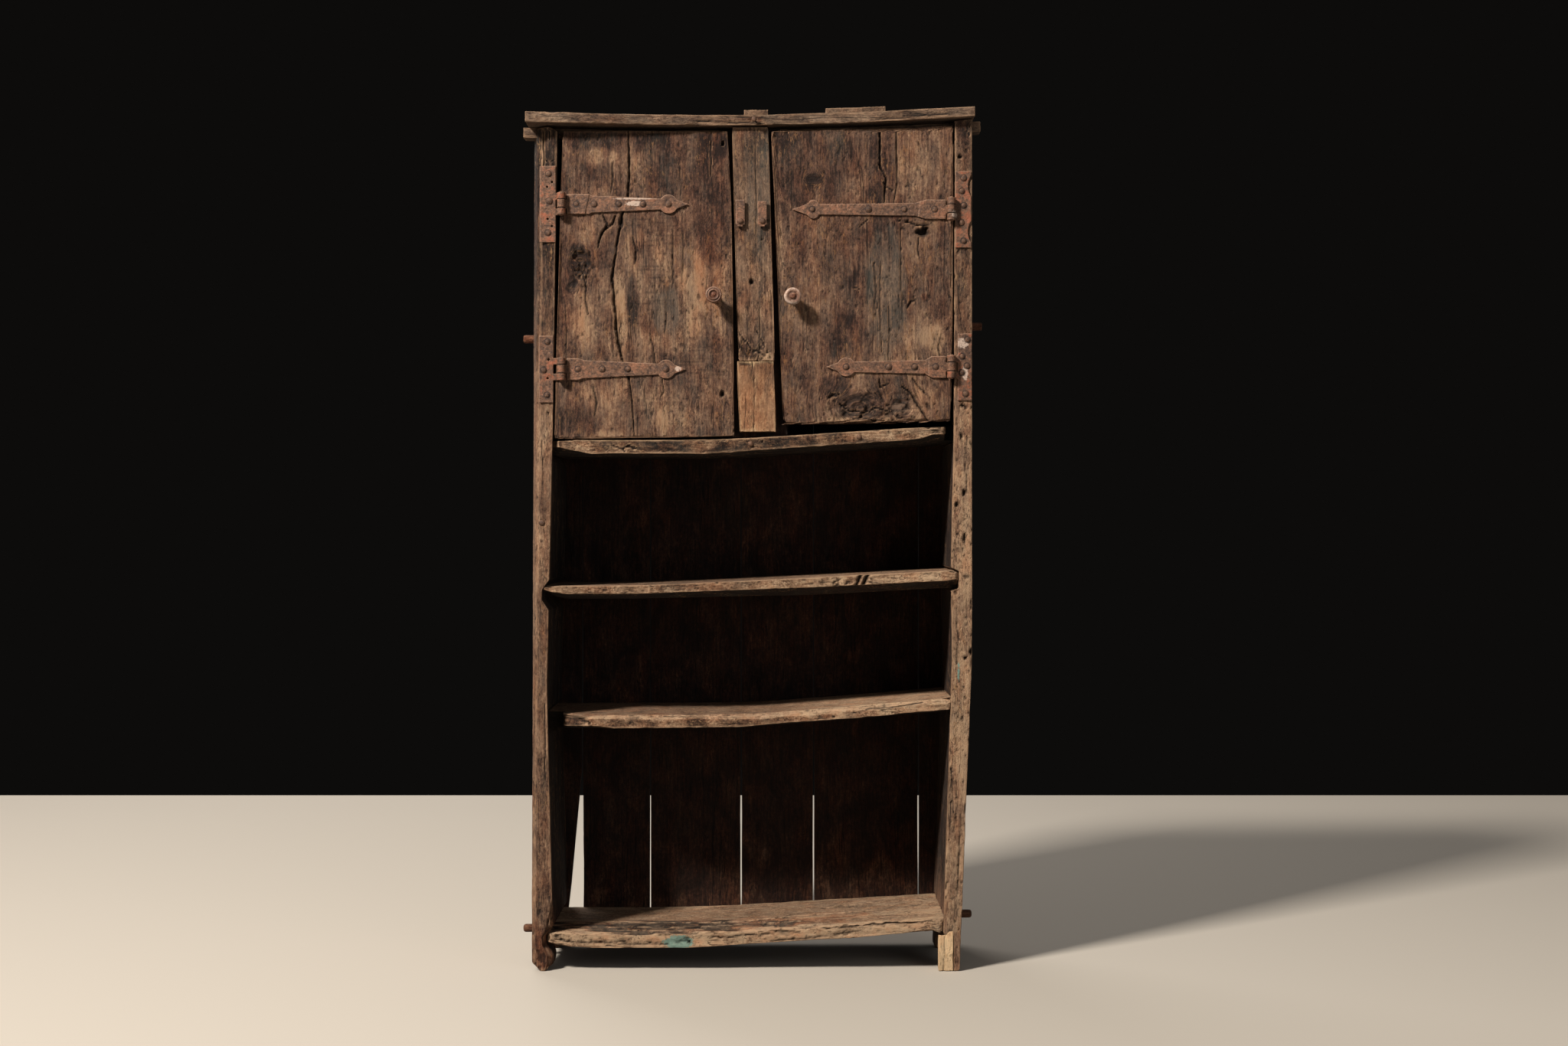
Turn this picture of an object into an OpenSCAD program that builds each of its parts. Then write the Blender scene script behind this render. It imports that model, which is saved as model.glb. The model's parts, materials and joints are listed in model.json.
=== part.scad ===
// Rustic cupboard cabinet: a double-doored cupboard over three open bays.
// The frame's origin is on the floor, midway between the sides and midway in depth.
// +X runs to the right, +Y to the back and +Z up.

/* [Sides] */
// Height of the left side, the lower of the two
side_h = 1769; // [1650:1:1850]
// Depth of each side, from its front edge to its back edge
side_d = 311; // [280:1:340]
// Distance from the middle to the left side's outer face
left_reach = 459; // [430:1:490]
// Distance from the middle to the right side's outer face, above its bend
right_reach = 464; // [440:1:490]
// Thickness of the left side at its top
left_top_t = 56; // [46:1:66]
// Thickness of the left side level with the cupboard floor
left_mid_t = 46; // [42:1:52]
// Thickness of the left side at its waist, between the open shelves
left_waist_t = 34; // [32:1:40]
// Thickness of the left side at its feet
left_foot_t = 47; // [40:1:52]
// Thickness of the right side at its top
right_top_t = 38; // [36:1:48]
// Thickness of the right side where it bulges inward, above the upper shelf
right_belly_t = 45; // [40:1:52]
// Thickness of the right side at its feet
right_foot_t = 38; // [34:1:46]
// Height of the left side's waist
left_waist_z = 600; // [450:1:750]
// Height of the right side's inward bulge
right_belly_z = 850; // [780:1:950]
// Height where the right side starts to lean inward
right_bend_z = 650; // [500:1:760]
// How far the right side's feet lean in under its top
right_lean = 26; // [0:1:40]
// Width of the waney bevel on the left side's outer front corner, at the top
wane_top = 18; // [8:1:24]
// Width of that bevel at the floor
wane_low = 3; // [1:1:8]
// How far back that bevel runs
wane_d = 60; // [30:1:90]
// Depth of each foot, front and rear, beside the arch
foot_d = 68; // [50:1:90]
// Height of the arch between the feet
arch_h = 42; // [20:1:44]
// Radius worn onto the left feet
left_foot_r = 14; // [4:1:18]
// Radius worn onto the right feet
right_foot_r = 6; // [3:1:14]

/* [Foot repair] */
// Width of the repair piece let into the right front foot
repair_w = 24; // [18:1:30]
// How far it stands proud of the side's inner face
repair_out = 7; // [3:1:12]
// Height of the repair piece
repair_h = 75; // [50:1:90]
// Height of the narrow tongue at its outer half
tongue_h = 9; // [4:1:20]
// Depth of the repair piece
repair_d = 32; // [20:1:45]

/* [Top] */
// How far the top boards stand out past the left side
top_out_left = 9.5; // [6:0.5:16]
// How far the top boards stand out past the right side
top_out_right = 4.5; // [2:0.5:16]
// Thickness of the top boards
top_t = 23.5; // [18:0.5:30]
// How far the right end of the top sits above the left end
top_rise = 13; // [0:1:20]
// How far the middle of the top hangs below its ends
top_sag = 10.5; // [0:0.5:14]
// How far the top stands out past the doors
overhang = 22; // [10:1:30]
// Width of the front top board
top_front_w = 172; // [140:1:200]
// Width of the batten under the top
batten_w = 40; // [25:1:60]
// Thickness of that batten
batten_t = 22; // [16:1:30]
// How far the batten lies behind the front edge of the sides
batten_back = 34; // [30:1:60]
// How far the batten's ends stand out past the sides
batten_out = 20; // [8:1:30]
// Thickness of the patches nailed on the top
patch_t = 12; // [8:1:16]
// Middle of the narrow patch
patch_small_x = 11.5; // [-60:0.5:80]
// Width of the narrow patch
patch_small_w = 51; // [30:1:80]
// Middle of the wide patch
patch_large_x = 220; // [150:1:300]
// Width of the wide patch
patch_large_w = 126; // [80:1:160]

/* [Boards across] */
// Height of the cupboard floor at its left end
floor_z = 1110.5; // [1080:0.5:1130]
// Rise of the cupboard floor to its right end
floor_rise = 31; // [0:1:40]
// Where the cupboard floor starts to climb, from the middle
floor_bend_x = -60; // [-160:1:40]
// Thickness of the cupboard floor
floor_t = 33; // [28:1:40]
// Thickness of the cupboard floor's front edge
floor_edge_t = 26; // [18:1:28]
// Height of the shelf inside the cupboard at its left end
inner_z = 1347; // [1320:1:1390]
// Rise of the inner shelf to its right end
inner_rise = 27; // [0:1:35]
// Where the inner shelf starts to climb, from the middle
inner_bend_x = -150; // [-250:1:-50]
// Thickness of the inner shelf
inner_t = 28; // [25:1:36]
// How far the inner shelf stands behind the doors
inner_back = 8; // [6:1:20]
// Height of the upper open shelf at its left end
upper_z = 806; // [770:1:840]
// Rise of the upper shelf to its right end
upper_rise = 32; // [0:1:40]
// Where the upper shelf starts to climb, from the middle
upper_bend_x = -218; // [-318:1:-118]
// Thickness of the upper shelf
upper_t = 40; // [30:1:46]
// Thickness of the upper shelf's front edge
upper_edge_t = 23; // [14:1:28]
// Height of the lower open shelf at its left end
lower_z = 536; // [500:1:570]
// Rise of the lower shelf to its right end
lower_rise = 35; // [0:1:45]
// Where the lower shelf starts to climb, from the middle
lower_bend_x = 0; // [-100:1:100]
// Thickness of the lower shelf
lower_t = 34; // [28:1:42]
// Thickness of the lower shelf's front edge
lower_edge_t = 26; // [18:1:28]
// Height of the bottom shelf at its left end
bottom_z = 81; // [78:1:100]
// Rise of the bottom shelf to its right end
bottom_rise = 32; // [0:1:40]
// Where the bottom shelf starts to climb, from the middle
bottom_bend_x = -107; // [-207:1:-7]
// Thickness of the bottom shelf
bottom_t = 36; // [30:1:37]
// Thickness of the bottom shelf's front edge
bottom_edge_t = 33; // [20:1:34]
// How far the boards' ends are housed in the sides
housing = 15; // [8:1:17]
// How far the housings stop behind the front edge of the sides
housing_stop = 14; // [8:1:24]
// How far back the thinned front edge reaches under a board
edge_taper_d = 70; // [40:1:100]
// Diameter of the pegs through the sides
peg_d = 18; // [12:0.5:19]
// How far the pegs stand out past the sides
peg_out = 33; // [10:1:40]
// How far the pegs reach into the boards
peg_in = 50; // [30:1:80]
// Distance from the front edge to the pegs
peg_back = 150; // [120:1:200]

/* [Back] */
// Thickness of the back boards
back_t = 19; // [14:1:24]
// Gap between two back boards
back_gap = 4; // [2:0.5:6]
// Height of the back boards' lower ends
back_z = 40; // [38:1:44]
// Width of the corner missing from the first back board
split_w = 27; // [10:1:40]
// Height where that missing corner begins
split_z = 381; // [250:1:450]

/* [Stile] */
// Width of the centre stile
stile_w = 78.5; // [70:0.5:84]
// Thickness of the stile, and of the doors
door_t = 24; // [20:1:28]
// Middle of the stile at its top end
stile_top_x = 1; // [-6:0.5:6]
// Middle of the stile at its lower end
stile_low_x = 14; // [8:0.5:18]
// Gap between the stile's lower end and the cupboard floor
stile_lift = 11; // [4:1:20]
// Length of the repaired lower end of the stile
stile_repair_h = 148; // [100:1:200]
// Width of the backing post behind the stile
backing_w = 128; // [122:1:140]
// Thickness of the backing post
backing_t = 22; // [18:1:28]

/* [Doors] */
// Gap between the left door and the top
left_door_gap = 7.5; // [5:0.5:14]
// Gap between the right door's hinge side and the top
right_door_gap = 12.5; // [7:0.5:18]
// Gap under the left door
left_lift = 2.5; // [1.5:0.5:6]
// Gap under the right door at its hinge side
right_lift = 5; // [4:0.5:8]
// How much the right door's free corner hangs below its hinge corner
right_droop = 5; // [0:1:6]
// Gap between the left door and the side at the top
left_side_gap_top = 7; // [4:0.5:10]
// Gap between the left door and the side at the bottom
left_side_gap_low = 3.5; // [2.5:0.5:8]
// Gap between the right door and the side
right_side_gap = 2.5; // [2:0.5:6]
// Gap between the left door and the stile at the top
left_free_gap_top = 6.5; // [3:0.5:9]
// Gap between the left door and the stile at its narrowest
left_free_gap_mid = 3.5; // [3:0.5:8]
// Gap between the left door and the stile at the bottom
left_free_gap_low = 10; // [3:0.5:12]
// Gap between the right door and the stile at the top
right_free_gap_top = 4; // [3:0.5:9]
// Gap between the right door and the stile at the bottom
right_free_gap_low = 10.5; // [3:0.5:12]

/* [Hinges] */
// Distance from the left side's inner face, at its top, to the left hinge pins
left_pin_in = 8.7; // [7:0.1:13]
// Distance from the right side's inner face, at its top, to the right hinge pins
right_pin_in = 7; // [5:0.5:12]
// Thickness of the hinge iron
iron_t = 3; // [2:0.5:4]
// Outer diameter of the hinge barrel
barrel_d = 19; // [15:0.5:21]
// Diameter of the hinge pin
pin_d = 7; // [5:0.5:8]
// Height of the hinge barrel
barrel_h = 47; // [40:1:56]
// Running clearance of the pin in the strap's knuckle, all round
pin_fit = 0.08; // [0.02:0.01:0.1]
// Drop of the left upper hinge below the door's top
left_up_drop = 154; // [120:1:200]
// Height of the left lower hinge above the door's bottom
left_low_lift = 142; // [110:1:190]
// Drop of the right upper hinge below the door's top
right_up_drop = 175; // [120:1:210]
// Height of the right lower hinge above the door's bottom
right_low_lift = 116; // [105:1:190]
// Height of the upper hinges' plates
plate_up_h = 160; // [130:1:180]
// Height of the lower hinges' plates
plate_low_h = 140; // [120:1:160]
// Width of the upper hinges' plates
plate_up_w = 34; // [28:1:36]
// Width of the lower hinges' plates
plate_low_w = 30; // [26:1:34]
// Reach of the left upper strap, from the pin to its tip
left_up_reach = 266; // [230:1:300]
// Reach of the left lower strap
left_low_reach = 261; // [230:1:300]
// Reach of the right upper strap
right_up_reach = 333; // [290:1:345]
// Reach of the right lower strap
right_low_reach = 262; // [230:1:300]
// Height of a strap just before its rounded end
strap_tip_h = 22; // [16:1:28]
// Radius of the disc near a strap's tip
disc_r = 20; // [14:1:24]
// Length of the spear from the disc's middle to its point
spear_l = 43; // [30:1:55]

/* [Nails] */
// Radius of the hinge nails' heads
head_r = 5.4; // [4:0.1:6]
// Height of the nail heads
head_h = 3.2; // [2:0.1:4]
// Radius of the nail shanks
shank_r = 2.2; // [1.5:0.1:3]
// Depth of the nails in the wood
shank_in = 16; // [10:1:18]
// Height of the nail in the left side's front edge
edge_nail_z = 937; // [860:1:1060]
// Distance of that nail from the side's outer face
edge_nail_in = 23; // [15:1:28]
// Distance of the stile's nails from the ends of its repair
stile_nail_end = 35; // [20:1:45]
// Distance of its other nails from the repair and from the doors' top
stile_nail_far = 120; // [100:1:150]
// Distance of the top's front nails from the front edge of the sides
top_nail_front = 16; // [10:1:22]
// Distance of its last nails from the back edge of the sides
top_nail_rear = 30; // [20:1:50]
// Distance of its middle nails from the back edge of the sides
top_nail_mid = 110; // [80:1:130]

/* [Knobs] */
// Diameter of the left knob
left_knob_d = 34.5; // [28:0.5:40]
// Diameter of the right knob
right_knob_d = 36.5; // [28:0.5:40]
// How far the knobs stand out from the doors
knob_out = 45; // [35:1:55]
// Diameter of the knobs' stems
knob_stem_d = 15; // [10:1:18]
// Height of the left knob
left_knob_z = 1410; // [1390:1:1500]
// Height of the right knob
right_knob_z = 1407; // [1390:1:1500]
// Distance from the left knob to its door's free edge
left_knob_in = 39; // [25:1:60]
// Distance from the right knob to its door's free edge
right_knob_in = 33; // [25:1:60]

/* [Turn buttons] */
// Height of the turn buttons' screws
button_z = 1567; // [1540:1:1600]
// How far the pair of screws sits left of the stile's middle
button_shift = 3.5; // [0:0.5:6]
// Distance between the two screws
button_gap = 46; // [40:1:50]
// Reach of the left button past its screw
left_arm = 44; // [34:1:50]
// Reach of the right button past its screw
right_arm = 41; // [34:1:50]
// Tail of the buttons behind their screws
button_tail = 12; // [9:1:14]
// Width of the button iron
button_w = 19; // [14:1:20]
// Thickness of the button iron
button_t = 4; // [3:0.5:6]
// Thickness of the collar behind a button
collar_t = 4; // [3:0.5:8]
// Radius of the screw's shank
screw_r = 3; // [2:0.5:4]
// Radius of the screw's head
screw_head_r = 7.5; // [6:0.5:9]

/* [Fits] */
// Clearance between pieces that are fitted together
fit = 0.3; // [0.2:0.05:0.5]
// Clearance all round nails, pegs and stems in their holes
hole_fit = 0.1; // [0.05:0.01:0.2]

/* [Hidden] */
$fn = 48;
eps = 1;
front_y = (knob_out - side_d - back_t) / 2;
back_y = front_y + side_d;
rear_y = back_y + back_t;
behind_door_y = front_y + door_t;
stopped_y = front_y + housing_stop;
inner_y = behind_door_y + inner_back;
top_half = (left_reach + right_reach + top_out_left + top_out_right) / 2;
span_n = 12;
bend_soft = 60;
door_back = 0.2;
barrel_proud = 0.5;
spare = 40;
stem_in = 18;
board_spare = 20;
foot_top_z = 60;
arch_square = 0.6;
wedge_spare = 9;
free_end_l = 180;
board_end = right_reach - right_belly_t;

// A board across: left height, rise, x where the rise starts, thickness, front edge thickness
FLOOR = [floor_z, floor_rise, floor_bend_x, floor_t, floor_edge_t];
INNER = [inner_z, inner_rise, inner_bend_x, inner_t, inner_t];
UPPER = [upper_z, upper_rise, upper_bend_x, upper_t, upper_edge_t];
LOWER = [lower_z, lower_rise, lower_bend_x, lower_t, lower_edge_t];
BOTTOM = [bottom_z, bottom_rise, bottom_bend_x, bottom_t, bottom_edge_t];

// Height of a board's upper face at x: level on the left, climbing past its bend
function ramp(d) = (d + sqrt(d * d + bend_soft * bend_soft)) / 2;
function board_top(b, x) = b[0] + b[1] * ramp(x - b[2]) / (board_end - b[2]);
function board_mid(b, x) = board_top(b, x) - b[3] / 2;

// Underside of the top at x, sagging in the middle and climbing to the right
function top_under(x) =
    side_h + top_rise * (x + top_half) / (2 * top_half) - top_sag * (1 - pow(x / top_half, 2));

// Faces of the two sides at height z
LEFT_T = [[0, left_foot_t], [foot_top_z, left_foot_t], [left_waist_z, left_waist_t],
    [floor_z, left_mid_t], [side_h, left_top_t]];
RIGHT_T = [[0, right_foot_t], [right_bend_z, right_belly_t - 2], [right_belly_z, right_belly_t],
    [floor_z, right_top_t + 2], [side_h, right_top_t]];
left_pin_x = left_reach - left_top_t - left_pin_in;
right_pin_x = right_reach - right_top_t - right_pin_in;
function left_in(z) = -left_reach + lookup(z, LEFT_T);
function right_out(z) = right_reach - right_lean * max(0, right_bend_z - z) / right_bend_z;
function right_in(z) = right_out(z) - lookup(z, RIGHT_T);

// The stile and the doors' free edges at height z
stile_low_z = board_top(FLOOR, stile_low_x) + stile_lift;
function stile_x(z) = lookup(z, [[stile_low_z, stile_low_x], [side_h, stile_top_x]]);
left_door_top = top_under(-left_pin_x / 2) - left_door_gap;
door_mid_z = left_door_top - free_end_l;
function left_free(z) = stile_x(z) - stile_w / 2 - lookup(z,
    [[floor_z, left_free_gap_low], [door_mid_z, left_free_gap_mid], [left_door_top, left_free_gap_top]]);
function right_free(z) = stile_x(z) + stile_w / 2 + lookup(z,
    [[floor_z, right_free_gap_low], [left_door_top, right_free_gap_top]]);
function left_hinge_edge(z) = left_in(z) + lookup(z,
    [[floor_z, left_side_gap_low], [left_door_top, left_side_gap_top]]);
function right_hinge_edge(z) = right_in(z) - right_side_gap;

// Hinge axes, and the height of each hinge's barrel
pin_y = front_y - barrel_d / 2 - barrel_proud;
left_door_low = board_top(FLOOR, left_free(floor_z)) + left_lift;
right_door_low = board_top(FLOOR, right_pin_x) + right_lift;
right_door_top = top_under(right_pin_x) - right_door_gap;
left_up_z = left_door_top - left_up_drop;
left_low_z = left_door_low + left_low_lift;
right_up_z = right_door_top - right_up_drop;
right_low_z = right_door_low + right_low_lift;
knuckle_gap = 0.5;
knuckle_h = barrel_h * 0.3;
mid_knuckle_h = barrel_h - 2 * knuckle_h - 2 * knuckle_gap;
strap_start = barrel_d / 2 + 1;

// Straps: root height, root length, shoulder length, height past the shoulder
LEFT_UP_STRAP = [42, 57, 6, 36];
LEFT_LOW_STRAP = [46, 35, 12, 38];
RIGHT_UP_STRAP = [41, 52, 25, 27];
RIGHT_LOW_STRAP = [46, 40, 15, 29];

// Nail places along each strap, from the pin
LEFT_UP_NAILS = [31, 68, 119, 170, left_up_reach - spear_l];
LEFT_LOW_NAILS = [34, 85, 138, left_low_reach - spear_l];
RIGHT_UP_NAILS = [34, 98, 172, right_up_reach - spear_l];
RIGHT_LOW_NAILS = [32, 76, 130, right_low_reach - spear_l];
// Nail places along the front edges of the cupboard floor and the top, from the middle
FLOOR_EDGE_NAILS = [0, 227];
TOP_EDGE_NAILS = [8];
// Scallops in the right upper plate's outer edge: height from its middle, radius, depth
PLATE_SCALLOPS = [[49, 40, 7], [-47, 40, 7]];
// Nail places on the plates, across and up from the plate's middle
PLATE_UP_NAILS = [[2, 63], [4, 6], [1, -60]];
PLATE_LOW_NAILS = [[3, 57], [-5, -2], [2, -54]];
PLATE_UP_SPARES = [[9, 46], [-1, 36], [0, -31], [9, -46]];
PLATE_LOW_SPARES = [[5, 20], [3, -19]];
PLATE_RIGHT_UP_NAILS = [[1, 65], [-3, 38], [1, 8], [-4, -28], [1, -66]];
PLATE_RIGHT_LOW_NAILS = [[6, 57], [-5, 22], [5, 2], [-6, -12], [2, -56]];

// Boards that the back is nailed to, and the seams between the back boards
BACK_BOARDS_ON = [FLOOR, LOWER, BOTTOM];
BACK_SEAMS = [-379.5, -228.4, -25.8, 135.9, 369.9];
// Heights of the nails that hold the outer back boards to the sides
SIDE_NAIL_Z = [300, 690, 1230, 1600];
back_inset = 5;
back_count = len(BACK_SEAMS) + 1;
function back_left(i) = i == 0 ? -left_reach + back_inset : BACK_SEAMS[i - 1] + back_gap / 2;
function back_right(i, z) = i == back_count - 1 ? right_out(z) - back_inset : BACK_SEAMS[i] - back_gap / 2;
function back_mid(i) = (back_left(i) + back_right(i, 0)) / 2;
back_nail_in = 12;

oak = "#7a5c43";
oak_pale = "#c09a6b";
oak_dark = "#4d3223";
rust = "#6b3a2a";
knob_wood = "#8d6a58";

// Extrudes an outline drawn in x and z from one depth to another
module slab(y0, y1) {
    translate([0, y1, 0]) rotate([90, 0, 0]) linear_extrude(y1 - y0) children();
}

// Hand-forged nail head, standing on z = 0
module nail_head() {
    cylinder(r1 = head_r, r2 = head_r * 0.6, h = head_h);
}

// Cylinder that runs to the back from a point on the front
module drill(x, y, z, r, l) {
    translate([x, y, z]) rotate([-90, 0, 0]) cylinder(r = r, h = l);
}

// Points of a round corner about a centre
function corner(cx, cz, r, from) = [for (a = [0:18:90]) [cx + r * cos(from + a), cz + r * sin(from + a)]];

// Outline of a board across, seen from the front
module board_outline(b, x0, x1, grow = 0) {
    xs = [for (i = [0:span_n]) x0 + (x1 - x0) * i / span_n];
    polygon(concat(
        [for (x = xs) [x, board_top(b, x) + grow]],
        [for (i = [span_n:-1:0]) [xs[i], board_top(b, xs[i]) - b[3] - grow]]));
}

// Ends of a board in its housings, and the faces that it runs between
function board_left(b) = left_in(board_mid(b, -left_reach)) - housing;
function board_right(b) = right_in(board_mid(b, right_reach)) + housing;

// Wedge taken from under a board's front edge, on one straight stretch of it
module edge_wedge(b, x, l, tilt) {
    translate([x, 0, board_top(b, x)]) rotate([0, -tilt, 0]) rotate([90, 0, 90])
        linear_extrude(l) polygon([
            [front_y - eps, -b[4]], [front_y, -b[4]],
            [front_y + edge_taper_d, -b[3]], [front_y + edge_taper_d, -b[3] - wedge_spare],
            [front_y - eps, -b[3] - wedge_spare]]);
}

// Corner taken off a board's end where its housing stops short of the front
module end_notch(b, x0, x1) {
    translate([x0, front_y - eps, b[0] - b[3] - board_spare])
        cube([x1 - x0, housing_stop + fit + eps, b[3] + b[1] + 2 * board_spare]);
}

// A board across, from its front edge to the back of the sides
module board(b, y0 = front_y, stop_left = true, stop_right = true, taper = true) {
    tilt = atan(b[1] / (board_end - b[2]));
    x0 = board_left(b);
    x1 = board_right(b);
    difference() {
        slab(y0, back_y - fit) board_outline(b, x0, x1);
        if (taper) {
            edge_wedge(b, x0 - eps, b[2] - x0 + eps, 0);
            edge_wedge(b, b[2], x1 - b[2] + wedge_spare, tilt);
        }
        if (stop_left) end_notch(b, x0 - eps, x0 + housing + 4 * fit);
        if (stop_right) end_notch(b, x1 - housing - 4 * fit, x1 + eps);
    }
}

// Housing cut in a side for a board
module board_housing(b, from_y) {
    slab(from_y, back_y + eps) board_outline(b, board_left(b) - fit, board_right(b) + fit, fit);
}

// Boards whose ends are pegged through the sides
PEGGED = [INNER, BOTTOM];
peg_y = front_y + peg_back;

// Peg through a side into a board's end, or the hole for it
module peg(b, left, grow = 0) {
    x = left ? board_left(b) + housing : board_right(b) - housing;
    z = board_mid(b, x);
    out = left ? -left_reach - peg_out : right_out(z) + peg_out;
    from = left ? out : x - peg_in;
    to = left ? x + peg_in : out;
    translate([from - grow, peg_y, z]) rotate([0, 90, 0])
        cylinder(d = peg_d + 2 * grow, h = to - from + 2 * grow);
}
module peg_holes() {
    for (b = PEGGED, left = [true, false]) peg(b, left, hole_fit);
}

// Arch between the feet, cut through both sides
module foot_arch() {
    half = side_d / 2 - foot_d;
    translate([-left_reach - spare, front_y + side_d / 2, 0]) rotate([90, 0, 90])
        linear_extrude(left_reach + right_reach + 2 * spare)
        polygon(concat([[half, -eps]],
            [for (a = [0:15:180]) [half * cos(a), arch_h * pow(sin(a), arch_square)]], [[-half, -eps]]));
}

// Housings of all the boards; some come out through the side's front edge
module housings(bottom_open) {
    board_housing(FLOOR, stopped_y);
    board_housing(INNER, inner_y - fit);
    board_housing(UPPER, front_y - eps);
    board_housing(LOWER, stopped_y);
    board_housing(BOTTOM, bottom_open ? front_y - eps : stopped_y);
}

// Notch for the batten under the top
module batten(grow = 0) {
    slab(front_y + batten_back - grow, front_y + batten_back + batten_w + grow)
        polygon(concat(
            [for (x = batten_stations()) [x, top_under(x) - fit + grow]],
            [for (x = reversed(batten_stations())) [x, top_under(x) - fit - batten_t - grow]]));
}
function batten_stations() =
    [for (i = [0:span_n])
        -left_reach - batten_out + (left_reach + right_reach + 2 * batten_out) * i / span_n];
function reversed(v) = [for (i = [len(v) - 1:-1:0]) v[i]];

module left_side() {
    color(oak) difference() {
        slab(front_y, back_y) polygon(concat(
            corner(-left_reach + left_foot_r, left_foot_r, left_foot_r, 180),
            corner(left_in(0) - left_foot_r, left_foot_r, left_foot_r, 270),
            [for (z = [foot_top_z, left_waist_z, floor_z]) [left_in(z), z]],
            [[left_in(side_h), top_under(left_in(side_h)) - fit],
             [-left_reach, top_under(-left_reach) - fit]]));
        translate([-left_reach + wane_top, front_y, side_h])
            rotate([0, atan((wane_top - wane_low) / side_h), atan(wane_top / wane_d)])
            translate([-wane_d, -wane_d - spare, -side_h - spare])
            cube([wane_d, 4 * wane_d + 2 * spare, side_h + 2 * spare]);
        foot_arch();
        housings(bottom_open = true);
        batten(fit);
        peg_holes();
        nail_holes(LEFT_PLATE_SPOTS);
        nail_holes(EDGE_SPOTS);
        top_nail_holes();
        side_nails_of(true, hole_fit);
    }
}

module right_side() {
    color(oak) difference() {
        slab(front_y, back_y) polygon(concat(
            corner(right_in(0) + right_foot_r, right_foot_r, right_foot_r, 180),
            corner(right_out(0) - right_foot_r, right_foot_r, right_foot_r, 270),
            [[right_out(right_bend_z), right_bend_z]],
            [[right_reach, top_under(right_reach) - fit],
             [right_in(side_h), top_under(right_in(side_h)) - fit]],
            [for (z = [floor_z, right_belly_z, right_bend_z]) [right_in(z), z]]));
        foot_arch();
        housings(bottom_open = false);
        batten(fit);
        peg_holes();
        nail_holes(RIGHT_PLATE_SPOTS);
        top_nail_holes();
        side_nails_of(false, hole_fit);
        slab(front_y - eps, front_y + repair_d + fit) repair_outline(fit);
    }
}

// Repair piece let into the right foot, with a tongue at its outer half
module repair_outline(grow = 0) {
    inner = right_in(0) - repair_out;
    outer = right_in(0) + repair_w;
    polygon([
        [inner - grow, 0], [inner - grow, repair_h + grow],
        [(inner + outer) / 2 - grow, repair_h + grow],
        [(inner + outer) / 2 - grow, repair_h + tongue_h + grow],
        [outer + grow, repair_h + tongue_h + grow], [outer + grow, 0]]);
}

module right_foot_repair() {
    color(oak_pale) slab(front_y, front_y + repair_d) repair_outline();
}

// Strip of the top between two depths, following its sag
module top_strip(x0, x1, y0, y1, low, t) {
    xs = [for (i = [0:span_n]) x0 + (x1 - x0) * i / span_n];
    slab(y0, y1) polygon(concat(
        [for (x = xs) [x, top_under(x) + low + t]],
        [for (x = reversed(xs)) [x, top_under(x) + low]]));
}

top_split_y = front_y - overhang + top_front_w;
top_left = -left_reach - top_out_left;
top_right = right_reach + top_out_right;
module top_front_board() {
    color(oak) difference() {
        top_strip(top_left, top_right, front_y - overhang, top_split_y, 0, top_t);
        top_nail_holes();
        nail_holes(TOP_EDGE_SPOTS);
    }
}

module top_rear_board() {
    color(oak) difference() {
        top_strip(top_left, top_right, top_split_y + fit, rear_y, 0, top_t);
        top_nail_holes();
    }
}

module top_batten() {
    color(oak_dark) batten();
}

// Patches that lie on the top, front to back
module top_patch(x, w) {
    top_strip(x - w / 2, x + w / 2, front_y + 4, top_split_y - 10, top_t + fit, patch_t);
}
module top_patch_narrow() {
    color(oak_dark) top_patch(patch_small_x, patch_small_w);
}
module top_patch_wide() {
    color(oak_dark) top_patch(patch_large_x, patch_large_w);
}

// Nails through the top into the sides: x and y of each
TOP_NAIL_SPOTS = [for (x = [-left_reach + left_top_t / 2, right_reach - right_top_t / 2],
    y = [front_y + top_nail_front, back_y - top_nail_mid, back_y - top_nail_rear]) [x, y]];
top_nail_in = 45;
top_nail_lift = 0.4;
module top_nail(x, y, grow = 0) {
    z = top_under(x) + top_t;
    translate([x, y, z - top_nail_in - grow])
        cylinder(r = shank_r + grow, h = top_nail_in + top_nail_lift + 2 * grow);
}
module top_nail_holes() {
    for (s = TOP_NAIL_SPOTS) top_nail(s[0], s[1], hole_fit);
}
module top_nails() {
    color(rust) for (s = TOP_NAIL_SPOTS) {
        top_nail(s[0], s[1]);
        translate([s[0], s[1], top_under(s[0]) + top_t + top_nail_lift]) nail_head();
    }
}

// Stile between two heights
module stile_part(z0, z1) {
    slab(front_y, behind_door_y) polygon([
        for (s = [-1, 1]) [stile_x(z0) + s * stile_w / 2, z0],
        for (s = [1, -1]) [stile_x(z1) + s * stile_w / 2, z1]]);
}
stile_joint_z = stile_low_z + stile_repair_h;

module centre_stile() {
    color(oak) difference() {
        stile_part(stile_joint_z + fit, top_under(stile_top_x) - 2 * fit);
        stile_nail_holes();
        button_holes();
    }
}

module stile_repair() {
    color(oak_pale) difference() {
        stile_part(stile_low_z, stile_joint_z);
        stile_nail_holes();
    }
}

// Wider post behind the stile, which stands on the cupboard floor and stops the doors
module stile_backing() {
    color(oak_dark) difference() {
        slab(behind_door_y + fit, behind_door_y + fit + backing_t) polygon([
            for (s = [-1, 0, 1]) let (x = stile_low_x + s * backing_w / 2) [x, board_top(FLOOR, x) + 2 * fit],
            for (s = [1, -1]) let (x = stile_top_x + s * backing_w / 2) [x, top_under(x) - 2 * fit]]);
        batten(2 * fit);
        stile_nail_holes();
        slab(inner_y - fit, back_y) board_outline(INNER, board_left(INNER), board_right(INNER), fit);
    }
}

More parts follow.
